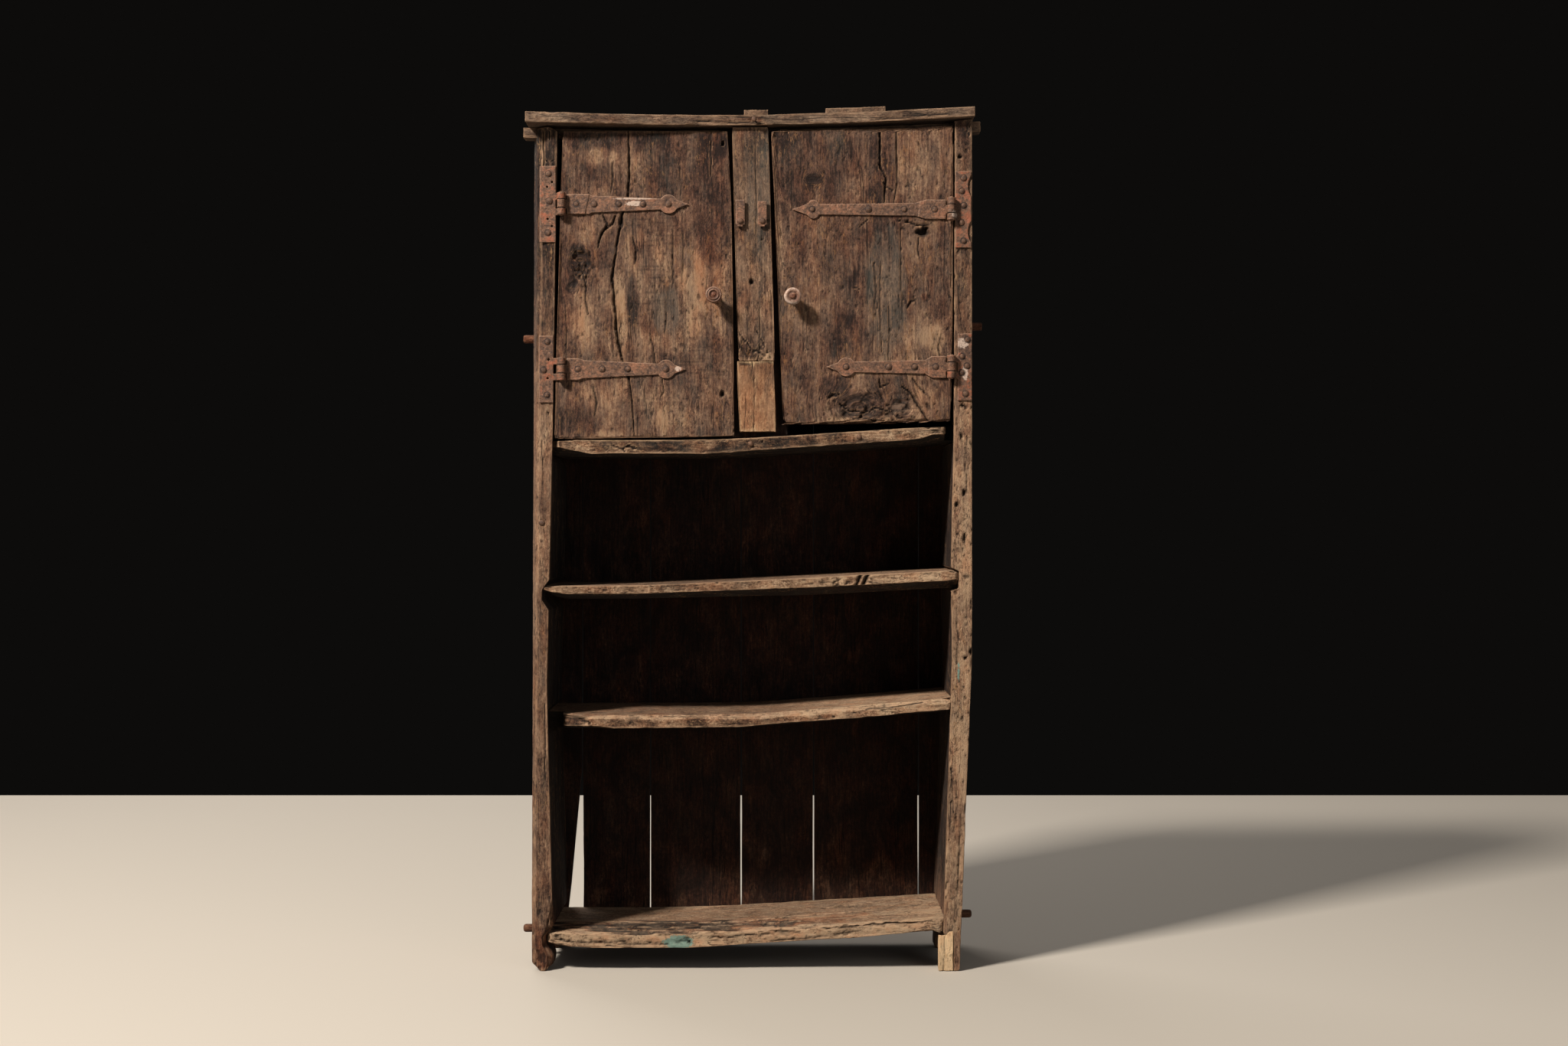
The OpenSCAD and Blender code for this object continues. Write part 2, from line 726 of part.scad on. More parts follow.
// Nails driven from inside through the backing into the stile
STILE_NAIL_Z = [stile_low_z + stile_nail_end, stile_joint_z - stile_nail_end,
    stile_joint_z + stile_nail_far, left_door_top - stile_nail_far];
stile_nail_y = behind_door_y - shank_in;
module stile_nail(z, grow = 0) {
    drill(stile_x(z), stile_nail_y - grow, z, shank_r + grow, shank_in + backing_t + 2 * fit + 2 * grow);
}
module stile_nail_holes() {
    for (z = STILE_NAIL_Z) stile_nail(z, hole_fit);
}
module stile_nails() {
    color(rust) for (z = STILE_NAIL_Z) {
        stile_nail(z);
        translate([stile_x(z), behind_door_y + backing_t + 2 * fit, z]) rotate([-90, 0, 0]) nail_head();
    }
}

// Width lost at a board's broken front corner, and how far back it runs
FLOOR_CORNERS = [[6, 30], [16, 34]];
LOWER_CORNER = [68, 60];
module broken_corner(b, left, lost) {
    x = left ? left_in(board_mid(b, -left_reach)) : right_in(board_mid(b, right_reach));
    s = left ? 1 : -1;
    translate([0, 0, b[0] - b[3] - board_spare]) linear_extrude(b[3] + b[1] + 2 * board_spare)
        polygon([[x - s * (housing + eps), front_y - eps], [x + s * lost[0], front_y - eps],
            [x + s * lost[0] * 0.5, front_y + lost[1] * 0.3], [x - s * (housing + eps), front_y + lost[1]]]);
}

module cupboard_floor() {
    color(oak) difference() {
        board(FLOOR);
        broken_corner(FLOOR, true, FLOOR_CORNERS[0]);
        broken_corner(FLOOR, false, FLOOR_CORNERS[1]);
        back_nail_holes(FLOOR);
        nail_holes(FLOOR_EDGE_SPOTS);
    }
}
module cupboard_shelf() {
    color(oak) difference() {
        board(INNER, y0 = inner_y, stop_left = false, stop_right = false, taper = false);
        peg_holes();
    }
}
module upper_shelf() {
    color(oak) board(UPPER, stop_left = false, stop_right = false);
}
module lower_shelf() {
    color(oak) difference() {
        board(LOWER);
        broken_corner(LOWER, true, LOWER_CORNER);
        back_nail_holes(LOWER);
    }
}
module bottom_shelf() {
    color(oak) difference() {
        board(BOTTOM, stop_left = false);
        peg_holes();
        back_nail_holes(BOTTOM);
        slab(front_y - eps, front_y + repair_d + fit) repair_outline(fit);
    }
}

// Back boards between neighbouring seams
module back_board(i) {
    x0 = back_left(i);
    x1 = back_right(i, side_h);
    turn_z = i == 0 ? split_z : right_bend_z;
    color(oak_dark) difference() {
        slab(back_y + fit, rear_y) polygon([
            [x0, back_z], [back_right(i, back_z) - (i == 0 ? split_w : 0), back_z],
            [back_right(i, turn_z), turn_z],
            for (x = [x1, (x0 + x1) / 2, x0]) [x, top_under(x) - 2 * fit]]);
        if (i == 0 || i == back_count - 1) side_nails_of(i == 0, hole_fit);
        else for (b = BACK_BOARDS_ON) back_nail(b, i, hole_fit);
    }
}
module back_board_1() { back_board(0); }
module back_board_2() { back_board(1); }
module back_board_3() { back_board(2); }
module back_board_4() { back_board(3); }
module back_board_5() { back_board(4); }
module back_board_6() { back_board(5); }

// Nails through the back boards into the boards across
module back_nail(b, i, grow = 0) {
    x = back_mid(i);
    drill(x, back_y - back_nail_in - grow, board_mid(b, x), shank_r + grow, back_nail_in + back_t + 2 * grow);
}
module back_nail_holes(b) {
    for (i = [1:back_count - 2]) back_nail(b, i, hole_fit);
}

// Nails through the outer back boards into the sides
function side_nail_x(left, z) = left ? left_waist_t / 2 - left_reach : right_out(z) - right_top_t / 2;
module side_nails_of(left, grow = 0) {
    for (z = SIDE_NAIL_Z)
        drill(side_nail_x(left, z), back_y - back_nail_in - grow, z, shank_r + grow,
            back_nail_in + back_t + 2 * grow);
}
module rear_head(x, z) {
    translate([x, rear_y, z]) rotate([-90, 0, 0]) nail_head();
}
module back_nails() {
    color(rust) {
        for (b = BACK_BOARDS_ON, i = [1:back_count - 2]) {
            back_nail(b, i);
            rear_head(back_mid(i), board_mid(b, back_mid(i)));
        }
        for (left = [true, false]) {
            side_nails_of(left);
            for (z = SIDE_NAIL_Z) rear_head(side_nail_x(left, z), z);
        }
    }
}

module board_pegs() {
    color(rust) for (b = PEGGED, left = [true, false]) peg(b, left);
}

// Nails with their heads on the front: x, z and the depth of the face under the head
module nail(spot) {
    translate([spot[0], spot[2], spot[1]]) rotate([90, 0, 0]) {
        translate([0, 0, -shank_in - iron_t]) cylinder(r = shank_r, h = shank_in + iron_t);
        nail_head();
    }
}
module nail_hole(spot) {
    drill(spot[0], spot[2] - eps, spot[1], shank_r + hole_fit, shank_in + iron_t + hole_fit + eps);
}
module nail_holes(spots) {
    for (s = spots) nail_hole(s);
}
function on_face(x, z) = [x, z, front_y - iron_t];
function strap_spots(side, pin_x, z, along) = [for (d = along) on_face(side * (pin_x - d), z)];
function plate_spots(x, z, places) = [for (p = places) on_face(x + p[0], z + p[1])];

// Middle of each plate across
left_up_plate_x = left_in(left_up_z) - 1 - plate_up_w / 2;
left_low_plate_x = left_in(left_low_z) - 1 - plate_low_w / 2;
right_up_plate_x = right_in(right_up_z) + 2 + plate_up_w / 2;
right_low_plate_x = right_in(right_low_z) + 8 + plate_low_w / 2;

LEFT_STRAP_SPOTS = concat(strap_spots(-1, left_pin_x, left_up_z, LEFT_UP_NAILS),
    strap_spots(-1, left_pin_x, left_low_z, LEFT_LOW_NAILS));
RIGHT_STRAP_SPOTS = concat(strap_spots(1, right_pin_x, right_up_z, RIGHT_UP_NAILS),
    strap_spots(1, right_pin_x, right_low_z, RIGHT_LOW_NAILS));
LEFT_PLATE_SPOTS = concat(plate_spots(left_up_plate_x, left_up_z, PLATE_UP_NAILS),
    plate_spots(left_low_plate_x, left_low_z, PLATE_LOW_NAILS));
RIGHT_PLATE_SPOTS = concat(plate_spots(right_up_plate_x, right_up_z, PLATE_RIGHT_UP_NAILS),
    plate_spots(right_low_plate_x, right_low_z, PLATE_RIGHT_LOW_NAILS));

// Nails in the left side's front edge, in the cupboard floor's edge and in the top's
EDGE_SPOTS = [[edge_nail_in - left_reach, edge_nail_z, front_y]];
FLOOR_EDGE_SPOTS = [for (x = FLOOR_EDGE_NAILS) [x, board_top(FLOOR, x) - floor_edge_t / 2, front_y]];
TOP_EDGE_SPOTS = [for (x = TOP_EDGE_NAILS) [x, top_under(x) + top_t / 2, front_y - overhang]];

module plate_nails() {
    color(rust) for (s = concat(LEFT_PLATE_SPOTS, RIGHT_PLATE_SPOTS)) nail(s);
}
module left_strap_nails() {
    color(rust) for (s = LEFT_STRAP_SPOTS) nail(s);
}
module right_strap_nails() {
    color(rust) for (s = RIGHT_STRAP_SPOTS) nail(s);
}
module edge_nails() {
    color(rust) for (s = concat(EDGE_SPOTS, FLOOR_EDGE_SPOTS, TOP_EDGE_SPOTS)) nail(s);
}

// Knuckle of a hinge between two heights, with the bore for the pin
module knuckle(x, z0, h, arm_to, fit_r) {
    from = min(x, arm_to);
    difference() {
        union() {
            translate([x, pin_y, z0]) cylinder(d = barrel_d, h = h);
            translate([from, front_y - iron_t, z0]) cube([abs(arm_to - x), iron_t, h]);
        }
        translate([x, pin_y, z0 - eps]) cylinder(r = pin_d / 2 + fit_r, h = h + 2 * eps);
    }
}

// Hinge plate on a side, with its upper and lower knuckles
module plate(pin_x, z, x, w, h, spots, spares, scallops = []) {
    low = z - barrel_h / 2;
    color(rust) difference() {
        union() {
            translate([x - w / 2, front_y - iron_t, z - h / 2]) cube([w, iron_t, h]);
            for (k = [low, z + barrel_h / 2 - knuckle_h]) knuckle(pin_x, k, knuckle_h, x, hole_fit / 2);
        }
        nail_holes(spots);
        for (s = spares) drill(x + s[0], front_y - iron_t - eps, z + s[1], shank_r, iron_t + 2 * eps);
        for (s = scallops)
            drill(x + w / 2 + s[1] - s[2], front_y - iron_t - eps, z + s[0], s[1], iron_t + 2 * eps);
    }
}
module left_upper_plate() {
    plate(-left_pin_x, left_up_z, left_up_plate_x, plate_up_w, plate_up_h, LEFT_PLATE_SPOTS,
        PLATE_UP_SPARES);
}
module left_lower_plate() {
    plate(-left_pin_x, left_low_z, left_low_plate_x, plate_low_w, plate_low_h, LEFT_PLATE_SPOTS,
        PLATE_LOW_SPARES);
}
module right_upper_plate() {
    plate(right_pin_x, right_up_z, right_up_plate_x, plate_up_w, plate_up_h, RIGHT_PLATE_SPOTS, [],
        PLATE_SCALLOPS);
}
module right_lower_plate() {
    plate(right_pin_x, right_low_z, right_low_plate_x, plate_low_w, plate_low_h, RIGHT_PLATE_SPOTS, []);
}

// Hinge pin with a peened head at each end
module pin(x, z) {
    color(rust) translate([x, pin_y, z - barrel_h / 2]) {
        cylinder(d = pin_d, h = barrel_h);
        translate([0, 0, barrel_h]) cylinder(r1 = pin_d / 2 + 2, r2 = pin_d / 2, h = 2);
        translate([0, 0, -2]) cylinder(r1 = pin_d / 2, r2 = pin_d / 2 + 2, h = 2);
    }
}
module left_upper_pin() { pin(-left_pin_x, left_up_z); }
module left_lower_pin() { pin(-left_pin_x, left_low_z); }
module right_upper_pin() { pin(right_pin_x, right_up_z); }
module right_lower_pin() { pin(right_pin_x, right_low_z); }

// Outline of a strap along +x from the pin: root, shoulder, taper, disc and spear
module strap_outline(reach, shape, heart) {
    disc_x = reach - spear_l;
    root = shape[0] / 2;
    body = shape[3] / 2;
    tip = strap_tip_h / 2;
    lobe = disc_r * 0.62;
    polygon([[strap_start, root], [shape[1], root], [shape[1] + shape[2], body], [disc_x, tip],
        [disc_x, -tip], [shape[1] + shape[2], -body], [shape[1], -root], [strap_start, -root]]);
    if (heart) {
        for (s = [-1, 1]) translate([disc_x - 2, s * (disc_r - lobe)]) circle(r = lobe);
    } else {
        translate([disc_x, 0]) circle(r = disc_r);
    }
    polygon([[disc_x, -disc_r * 0.9], [disc_x + disc_r * 0.8, -disc_r * 0.5],
        [reach, 0], [disc_x + disc_r * 0.8, disc_r * 0.5], [disc_x, disc_r * 0.9]]);
}

// Strap leaf on a door: side is -1 for the left door and 1 for the right one
module strap(side, pin_x, z, reach, shape, spots, heart = false) {
    mid_z = z - mid_knuckle_h / 2;
    color(rust) difference() {
        union() {
            slab(front_y - iron_t, front_y) translate([side * pin_x, z])
                mirror([side > 0 ? 1 : 0, 0]) strap_outline(reach, shape, heart);
            knuckle(side * pin_x, mid_z, mid_knuckle_h, side * (pin_x - strap_start - 2), pin_fit);
        }
        nail_holes(spots);
    }
}
module left_upper_strap() {
    strap(-1, left_pin_x, left_up_z, left_up_reach, LEFT_UP_STRAP, LEFT_STRAP_SPOTS);
}
module left_lower_strap() {
    strap(-1, left_pin_x, left_low_z, left_low_reach, LEFT_LOW_STRAP, LEFT_STRAP_SPOTS);
}
module right_upper_strap() {
    strap(1, right_pin_x, right_up_z, right_up_reach, RIGHT_UP_STRAP, RIGHT_STRAP_SPOTS, heart = true);
}
module right_lower_strap() {
    strap(1, right_pin_x, right_low_z, right_low_reach, RIGHT_LOW_STRAP, RIGHT_STRAP_SPOTS);
}

module left_door() {
    color(oak) difference() {
        slab(front_y + door_back, behind_door_y) polygon([
            [left_hinge_edge(left_door_low), board_top(FLOOR, -left_pin_x) + left_lift],
            [left_free(left_door_low), left_door_low],
            [left_free(door_mid_z), door_mid_z],
            [left_free(left_door_top), left_door_top],
            [left_hinge_edge(left_door_top), left_door_top]]);
        nail_holes(LEFT_STRAP_SPOTS);
        stem_hole(left_knob_x, left_knob_z);
    }
}
module right_door() {
    color(oak) difference() {
        slab(front_y + door_back, behind_door_y) polygon([
            [right_free(right_door_low), right_door_low - right_droop],
            [right_hinge_edge(right_door_low), right_door_low],
            [right_hinge_edge(right_door_top), right_door_top],
            [right_free(left_door_top), left_door_top]]);
        nail_holes(RIGHT_STRAP_SPOTS);
        stem_hole(right_knob_x, right_knob_z);
    }
}

// Turned knob: profile from the door outwards, then its stem in the door
left_knob_x = left_free(left_knob_z) - left_knob_in;
right_knob_x = right_free(right_knob_z) + right_knob_in;
module stem_hole(x, z) {
    drill(x, front_y - eps, z, knob_stem_d / 2 + hole_fit, stem_in + hole_fit + eps);
}
module knob(x, z, d) {
    color(knob_wood) translate([x, front_y, z]) rotate([90, 0, 0]) rotate_extrude() polygon([
        [0, -stem_in], [knob_stem_d / 2, -stem_in], [knob_stem_d / 2, 4],
        [d * 0.26, knob_out * 0.25], [d * 0.28, knob_out * 0.45], [d * 0.42, knob_out * 0.58],
        [d / 2, knob_out * 0.68], [d / 2, knob_out * 0.8], [d * 0.44, knob_out * 0.88],
        [d * 0.3, knob_out * 0.9], [d * 0.29, knob_out * 0.96], [d * 0.2, knob_out], [0, knob_out]]);
}
module left_knob() { knob(left_knob_x, left_knob_z, left_knob_d); }
module right_knob() { knob(right_knob_x, right_knob_z, right_knob_d); }

// Turn buttons stand upright, clear of the doors; they turn outward over the doors
left_button_x = stile_x(button_z) - button_shift - button_gap / 2;
right_button_x = stile_x(button_z) - button_shift + button_gap / 2;
button_y = front_y - fit - collar_t;
module button(x, arm) {
    color(rust) difference() {
        union() {
            drill(x, button_y, button_z, screw_head_r, collar_t);
            slab(button_y - button_t, button_y) translate([x, button_z]) {
                translate([-button_w / 2, 0]) square([button_w, arm]);
                translate([-button_w / 2, -button_tail + 4]) square([button_w, button_tail]);
                translate([-button_w / 2 + 4, -button_tail]) square([button_w - 8, 4]);
            }
        }
        drill(x, button_y - button_t - eps, button_z, screw_r + pin_fit, button_t + collar_t + 2 * eps);
    }
}
module left_button() { button(left_button_x, left_arm); }
module right_button() { button(right_button_x, right_arm); }

module button_screw(x) {
    color(rust) {
        drill(x, button_y - button_t - fit, button_z, screw_r, button_t + collar_t + 2 * fit + shank_in);
        translate([x, button_y - button_t - fit, button_z]) rotate([90, 0, 0])
            cylinder(r1 = screw_head_r, r2 = screw_head_r * 0.7, h = 4);
    }
}
module left_button_screw() { button_screw(left_button_x); }
module right_button_screw() { button_screw(right_button_x); }
module button_holes() {
    for (x = [left_button_x, right_button_x])
        drill(x, front_y - eps, button_z, screw_r + hole_fit / 2, shank_in + eps + fit);
}

left_side();
right_side();
right_foot_repair();
top_front_board();
top_rear_board();
top_batten();
top_patch_narrow();
top_patch_wide();
centre_stile();
stile_repair();
stile_backing();
cupboard_floor();
cupboard_shelf();
upper_shelf();
lower_shelf();
bottom_shelf();
back_board_1();
back_board_2();
back_board_3();
back_board_4();
back_board_5();
back_board_6();
board_pegs();
back_nails();
top_nails();
stile_nails();
edge_nails();
plate_nails();
left_upper_plate();
left_lower_plate();
right_upper_plate();
right_lower_plate();
left_upper_pin();
left_lower_pin();
right_upper_pin();
right_lower_pin();
left_door();
left_knob();
left_upper_strap();
left_lower_strap();
left_strap_nails();
right_door();
right_knob();
right_upper_strap();
right_lower_strap();
right_strap_nails();
left_button();
right_button();
left_button_screw();
right_button_screw();
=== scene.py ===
import functools
import itertools
import json
import math

import bmesh
import bpy
import numpy as np
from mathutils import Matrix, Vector
from mathutils.bvhtree import BVHTree

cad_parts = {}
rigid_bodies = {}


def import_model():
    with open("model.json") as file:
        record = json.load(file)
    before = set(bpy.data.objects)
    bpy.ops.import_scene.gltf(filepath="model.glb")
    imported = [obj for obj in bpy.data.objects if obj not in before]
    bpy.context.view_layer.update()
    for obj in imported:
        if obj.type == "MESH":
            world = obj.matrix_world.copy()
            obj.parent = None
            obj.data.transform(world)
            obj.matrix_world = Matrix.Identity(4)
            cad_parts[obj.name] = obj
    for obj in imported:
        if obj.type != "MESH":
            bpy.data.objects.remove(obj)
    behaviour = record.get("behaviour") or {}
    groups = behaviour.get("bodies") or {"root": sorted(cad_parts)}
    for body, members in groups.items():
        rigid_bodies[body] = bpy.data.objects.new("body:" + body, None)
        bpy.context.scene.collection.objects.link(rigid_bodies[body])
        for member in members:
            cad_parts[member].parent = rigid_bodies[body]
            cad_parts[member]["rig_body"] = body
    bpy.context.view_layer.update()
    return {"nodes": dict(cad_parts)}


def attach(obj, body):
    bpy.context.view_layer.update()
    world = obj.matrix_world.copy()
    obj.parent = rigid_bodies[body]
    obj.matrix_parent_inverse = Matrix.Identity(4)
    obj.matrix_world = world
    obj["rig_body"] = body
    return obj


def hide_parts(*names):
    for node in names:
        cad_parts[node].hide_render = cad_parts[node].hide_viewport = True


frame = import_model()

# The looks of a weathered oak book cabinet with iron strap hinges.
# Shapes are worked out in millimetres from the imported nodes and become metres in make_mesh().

MM = 0.001
X, Y, Z = 0, 1, 2
FRONT = np.array([0.0, -1.0, 0.0])
UP = np.array([0.0, 0.0, 1.0])


# Numbers: noise, blends and distances

def scatter(cells, seed):
    """A repeatable random number from 0 to 1 for each whole-number cell."""
    x, y, z = (cells[:, k].astype(np.uint64) for k in range(3))
    mixed = x * np.uint64(73856093) ^ y * np.uint64(19349663) ^ z * np.uint64(83492791)
    mixed = (mixed ^ np.uint64(seed * 2654435761 + 97)) & np.uint64(0xFFFFFFFF)
    for turn, factor in ((15, 2246822519), (13, 3266489917)):
        mixed = ((mixed ^ (mixed >> np.uint64(turn))) * np.uint64(factor)) & np.uint64(0xFFFFFFFF)
    return (mixed ^ (mixed >> np.uint64(16))).astype(float) / 0xFFFFFFFF


def noise(points, wave, seed=0):
    """Smooth noise from 0 to 1. wave is the length of one wave along x, y and z."""
    places = points / np.asarray(wave, float)
    base = np.floor(places)
    part = places - base
    part = part * part * (3 - 2 * part)
    total = np.zeros(len(points))
    for corner in itertools.product((0, 1), repeat=3):
        share = np.prod(np.where(corner, part, 1 - part), axis=1)
        total += share * scatter(base.astype(np.int64) + corner, seed)
    return total


def rough_noise(points, wave, seed=0, layers=3):
    """Noise with finer and fainter layers laid on it."""
    wave = np.asarray(wave, float)
    total = sum(noise(points, wave / 2**k, seed + 31 * k) / 2**k for k in range(layers))
    return total / (2 - 0.5 ** (layers - 1))


def ease(value, low, high):
    """0 below low, 1 above high and a smooth step between them."""
    part = np.clip((value - low) / (high - low), 0, 1)
    return part * part * (3 - 2 * part)


def path_distance(points, path):
    """How far each flat point is from a bent line, and how far along it, from 0 to 1, it lies."""
    path = np.asarray(path, float)
    lengths = np.linalg.norm(np.diff(path, axis=0), axis=1)
    nearest = np.full(len(points), 1e9)
    along = np.zeros(len(points))
    run = 0.0
    for start, end, length in zip(path[:-1], path[1:], lengths):
        part = np.clip((points - start) @ (end - start) / length**2, 0, 1)
        gap = np.linalg.norm(points - start - part[:, None] * (end - start), axis=1)
        closer = gap < nearest
        nearest = np.where(closer, gap, nearest)
        along = np.where(closer, (run + part * length) / lengths.sum(), along)
        run += length
    return nearest, along


def point_normals(points, faces):
    """The direction that each point of a mesh of quads or triangles faces."""
    corners = [points[faces[:, k]] for k in range(faces.shape[1])]
    flat = np.cross(corners[2] - corners[0], corners[-1] - corners[1])
    total = np.zeros_like(points)
    for k in range(faces.shape[1]):
        for axis in range(3):
            total[:, axis] += np.bincount(faces[:, k], flat[:, axis], len(points))
    return total / np.maximum(np.linalg.norm(total, axis=1, keepdims=True), 1e-12)


def bulge(points, normals, faces):
    """How far each point stands out from its neighbours: above 0 on edges, below 0 in hollows."""
    total = np.zeros(len(points))
    count = np.zeros(len(points))
    for k in range(faces.shape[1]):
        here = faces[:, k]
        there = faces[:, (k + 1) % faces.shape[1]]
        for a, b in ((here, there), (there, here)):
            step = points[b] - points[a]
            lean = np.sum(normals[a] * step, axis=1) / np.maximum(np.linalg.norm(step, axis=1), 1e-9)
            total += np.bincount(a, -lean, len(points))
            count += np.bincount(a, minlength=len(points))
    return total / np.maximum(count, 1)


# Meshes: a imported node's shape, a box's skin and a finished piece

class CadShape:
    """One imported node's shape in mm: its points, its triangles and what a ray meets on it."""

    def __init__(self, node):
        mesh = frame["nodes"][node].data
        mesh.calc_loop_triangles()
        points = np.empty(len(mesh.vertices) * 3, np.float32)
        mesh.vertices.foreach_get("co", points)
        corners = np.empty(len(mesh.loop_triangles) * 3, np.int32)
        mesh.loop_triangles.foreach_get("vertices", corners)
        self.points = points.reshape(-1, 3).astype(float) / MM
        self.triangles = corners.reshape(-1, 3)
        self.low = self.points.min(0)
        self.high = self.points.max(0)

    def reach(self, cut_axis, places, axis):
        """The lowest and highest place on one axis where planes cut the shape across another."""
        pairs = np.concatenate([self.triangles[:, [k, (k + 1) % 3]] for k in range(3)])
        start, end = self.points[pairs[:, 0]], self.points[pairs[:, 1]]
        lowest, highest = [], []
        for place in np.clip(places, self.low[cut_axis] + 0.3, self.high[cut_axis] - 0.3):
            before, after = start[:, cut_axis] - place, end[:, cut_axis] - place
            hit = (before * after <= 0) & (np.abs(before - after) > 1e-9)
            share = before[hit] / (before[hit] - after[hit])
            found = start[hit, axis] + share * (end[hit, axis] - start[hit, axis])
            lowest.append(found.min())
            highest.append(found.max())
        return np.array(lowest), np.array(highest)

    def skins(self, thin, places_a, places_b):
        """The heights of the two broad faces over a grid of places, found with rays along the thin axis."""
        tree = BVHTree.FromPolygons(self.points.tolist(), self.triangles.tolist())
        axes = [k for k in range(3) if k != thin]
        found = np.full((2, len(places_a), len(places_b)), np.nan)
        for side, (start, way) in enumerate(((self.low[thin] - 5, 1), (self.high[thin] + 5, -1))):
            ray = Vector((0, 0, 0))
            ray[thin] = way
            for i, a in enumerate(places_a):
                for j, b in enumerate(places_b):
                    origin = Vector((0, 0, 0))
                    origin[thin], origin[axes[0]], origin[axes[1]] = start, a, b
                    hit = tree.ray_cast(origin, ray)[0]
                    if hit is not None:
                        found[side, i, j] = hit[thin]
        return [without_spikes(fill_gaps(sheet)) for sheet in found]

    def lumps(self):
        """The node's separate solids, each as its own array of points."""
        keys = np.round(self.points * 1000).astype(np.int64)
        same = np.unique(keys, axis=0, return_inverse=True)[1].reshape(-1)
        parent = np.arange(same.max() + 1)

        def root(k):
            while parent[k] != k:
                parent[k] = parent[parent[k]]
                k = parent[k]
            return k

        for a, b, c in same[self.triangles]:
            parent[root(b)] = root(a)
            parent[root(c)] = root(a)
        roots = np.array([root(k) for k in same])
        return [self.points[roots == k] for k in sorted(set(roots.tolist()))]


def without_spikes(sheet, most=2.0):
    """Gives a height that stands far from all round it, where a ray slipped by, their middle value."""
    edged = np.pad(sheet, 1, mode="edge")
    rows, columns = sheet.shape
    around = np.stack([edged[i:i + rows, j:j + columns] for i in range(3) for j in range(3)])
    middle = np.median(around, axis=0)
    return np.where(np.abs(sheet - middle) > most, middle, sheet)


def calmed(sheet, way):
    """A grid of heights smoothed one way, over seven of its points."""
    rows = np.moveaxis(sheet, way, 0)
    edged = np.pad(rows, ((3, 3), (0, 0)), mode="edge")
    return np.moveaxis(sum(edged[k:k + len(rows)] for k in range(7)) / 7, 0, way)


def fill_gaps(sheet):
    """Gives each place that a ray missed the value of a measured neighbour."""
    for _ in range(sum(sheet.shape)):
        empty = np.isnan(sheet)
        if not empty.any():
            break
        for axis in (0, 1):
            for step in (1, -1):
                near = np.roll(sheet, step, axis)
                take = np.isnan(sheet) & ~np.isnan(near)
                sheet[take] = near[take]
    return sheet


def table_at(places_a, places_b, sheet, a, b):
    """Reads a grid of heights at any places between its lines."""
    i = np.clip(np.searchsorted(places_a, a) - 1, 0, len(places_a) - 2)
    j = np.clip(np.searchsorted(places_b, b) - 1, 0, len(places_b) - 2)
    s = np.clip((a - places_a[i]) / (places_a[i + 1] - places_a[i]), 0, 1)
    t = np.clip((b - places_b[j]) / (places_b[j + 1] - places_b[j]), 0, 1)
    left = sheet[i, j] * (1 - t) + sheet[i, j + 1] * t
    right = sheet[i + 1, j] * (1 - t) + sheet[i + 1, j + 1] * t
    return left * (1 - s) + right * s


EDGE_STOPS = np.array([0, 1.0, 2.2, 3.8, 6.0])


def stops(length, step):
    """Places along one side of a board: close together near both ends, then a step apart."""
    near = EDGE_STOPS[EDGE_STOPS < length * 0.35]
    count = max(2, round((length - 2 * near[-1]) / step) + 1)
    middle = np.linspace(near[-1], length - near[-1], count)
    return np.concatenate([near[:-1], middle, (length - near[:-1])[::-1]])


def lattice(grid):
    """The skin of a box as a grid: its points, and its quads by point number, facing out."""
    shape = tuple(len(places) for places in grid)
    outside = np.ones(shape, bool)
    outside[1:-1, 1:-1, 1:-1] = False
    number = np.cumsum(outside).reshape(shape) - 1
    points = np.stack([grid[k][index] for k, index in enumerate(np.nonzero(outside))], axis=1)
    quads = []
    for axis, end in itertools.product(range(3), (0, -1)):
        n = np.moveaxis(number, axis, 0)[end]
        loop = [n[:-1, :-1], n[1:, :-1], n[1:, 1:], n[:-1, 1:]]
        if (end == 0) != (axis == Y):
            loop.reverse()
        quads.append(np.stack(loop, axis=-1).reshape(-1, 4))
    return points, np.concatenate(quads)


def put_in_scene(name, data):
    """A new object in the scene."""
    thing = bpy.data.objects.new(name, data)
    bpy.context.scene.collection.objects.link(thing)
    return thing


def add_marks(mesh, marks):
    """Gives each point of a mesh its marks, as named attributes."""
    for mark, values in marks.items():
        kind, field = ("FLOAT_VECTOR", "vector") if values.ndim == 2 else ("FLOAT", "value")
        layer = mesh.attributes.new(mark, kind, "POINT")
        layer.data.foreach_set(field, values.astype(np.float32).ravel())


def make_mesh(name, points, faces, marks=None):
    """A smooth mesh object in metres from points in mm, with its marks as named attributes."""
    mesh = bpy.data.meshes.new(name)
    sides = faces.shape[1]
    mesh.vertices.add(len(points))
    mesh.vertices.foreach_set("co", (points * MM).astype(np.float32).ravel())
    mesh.loops.add(faces.size)
    mesh.loops.foreach_set("vertex_index", faces.astype(np.int32).ravel())
    mesh.polygons.add(len(faces))
    mesh.polygons.foreach_set("loop_start", np.arange(0, faces.size, sides, dtype=np.int32))
    mesh.polygons.foreach_set("use_smooth", np.ones(len(faces), bool))
    add_marks(mesh, marks or {})
    mesh.update(calc_edges=True)
    mesh.validate()
    return put_in_scene(name, mesh)


def finish_piece(piece, material, name_of_node):
    """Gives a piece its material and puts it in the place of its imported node."""
    if material is not None:
        piece.data.materials.clear()
        piece.data.materials.append(material)
    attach(piece, frame["nodes"][name_of_node]["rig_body"])
    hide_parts(name_of_node)


# Boards

RUBBED_WIDTH = 14.0     # mm from an edge over which hands and feet rub it
ON_FACE = 0.3           # how much a point has to face a face to take its marks


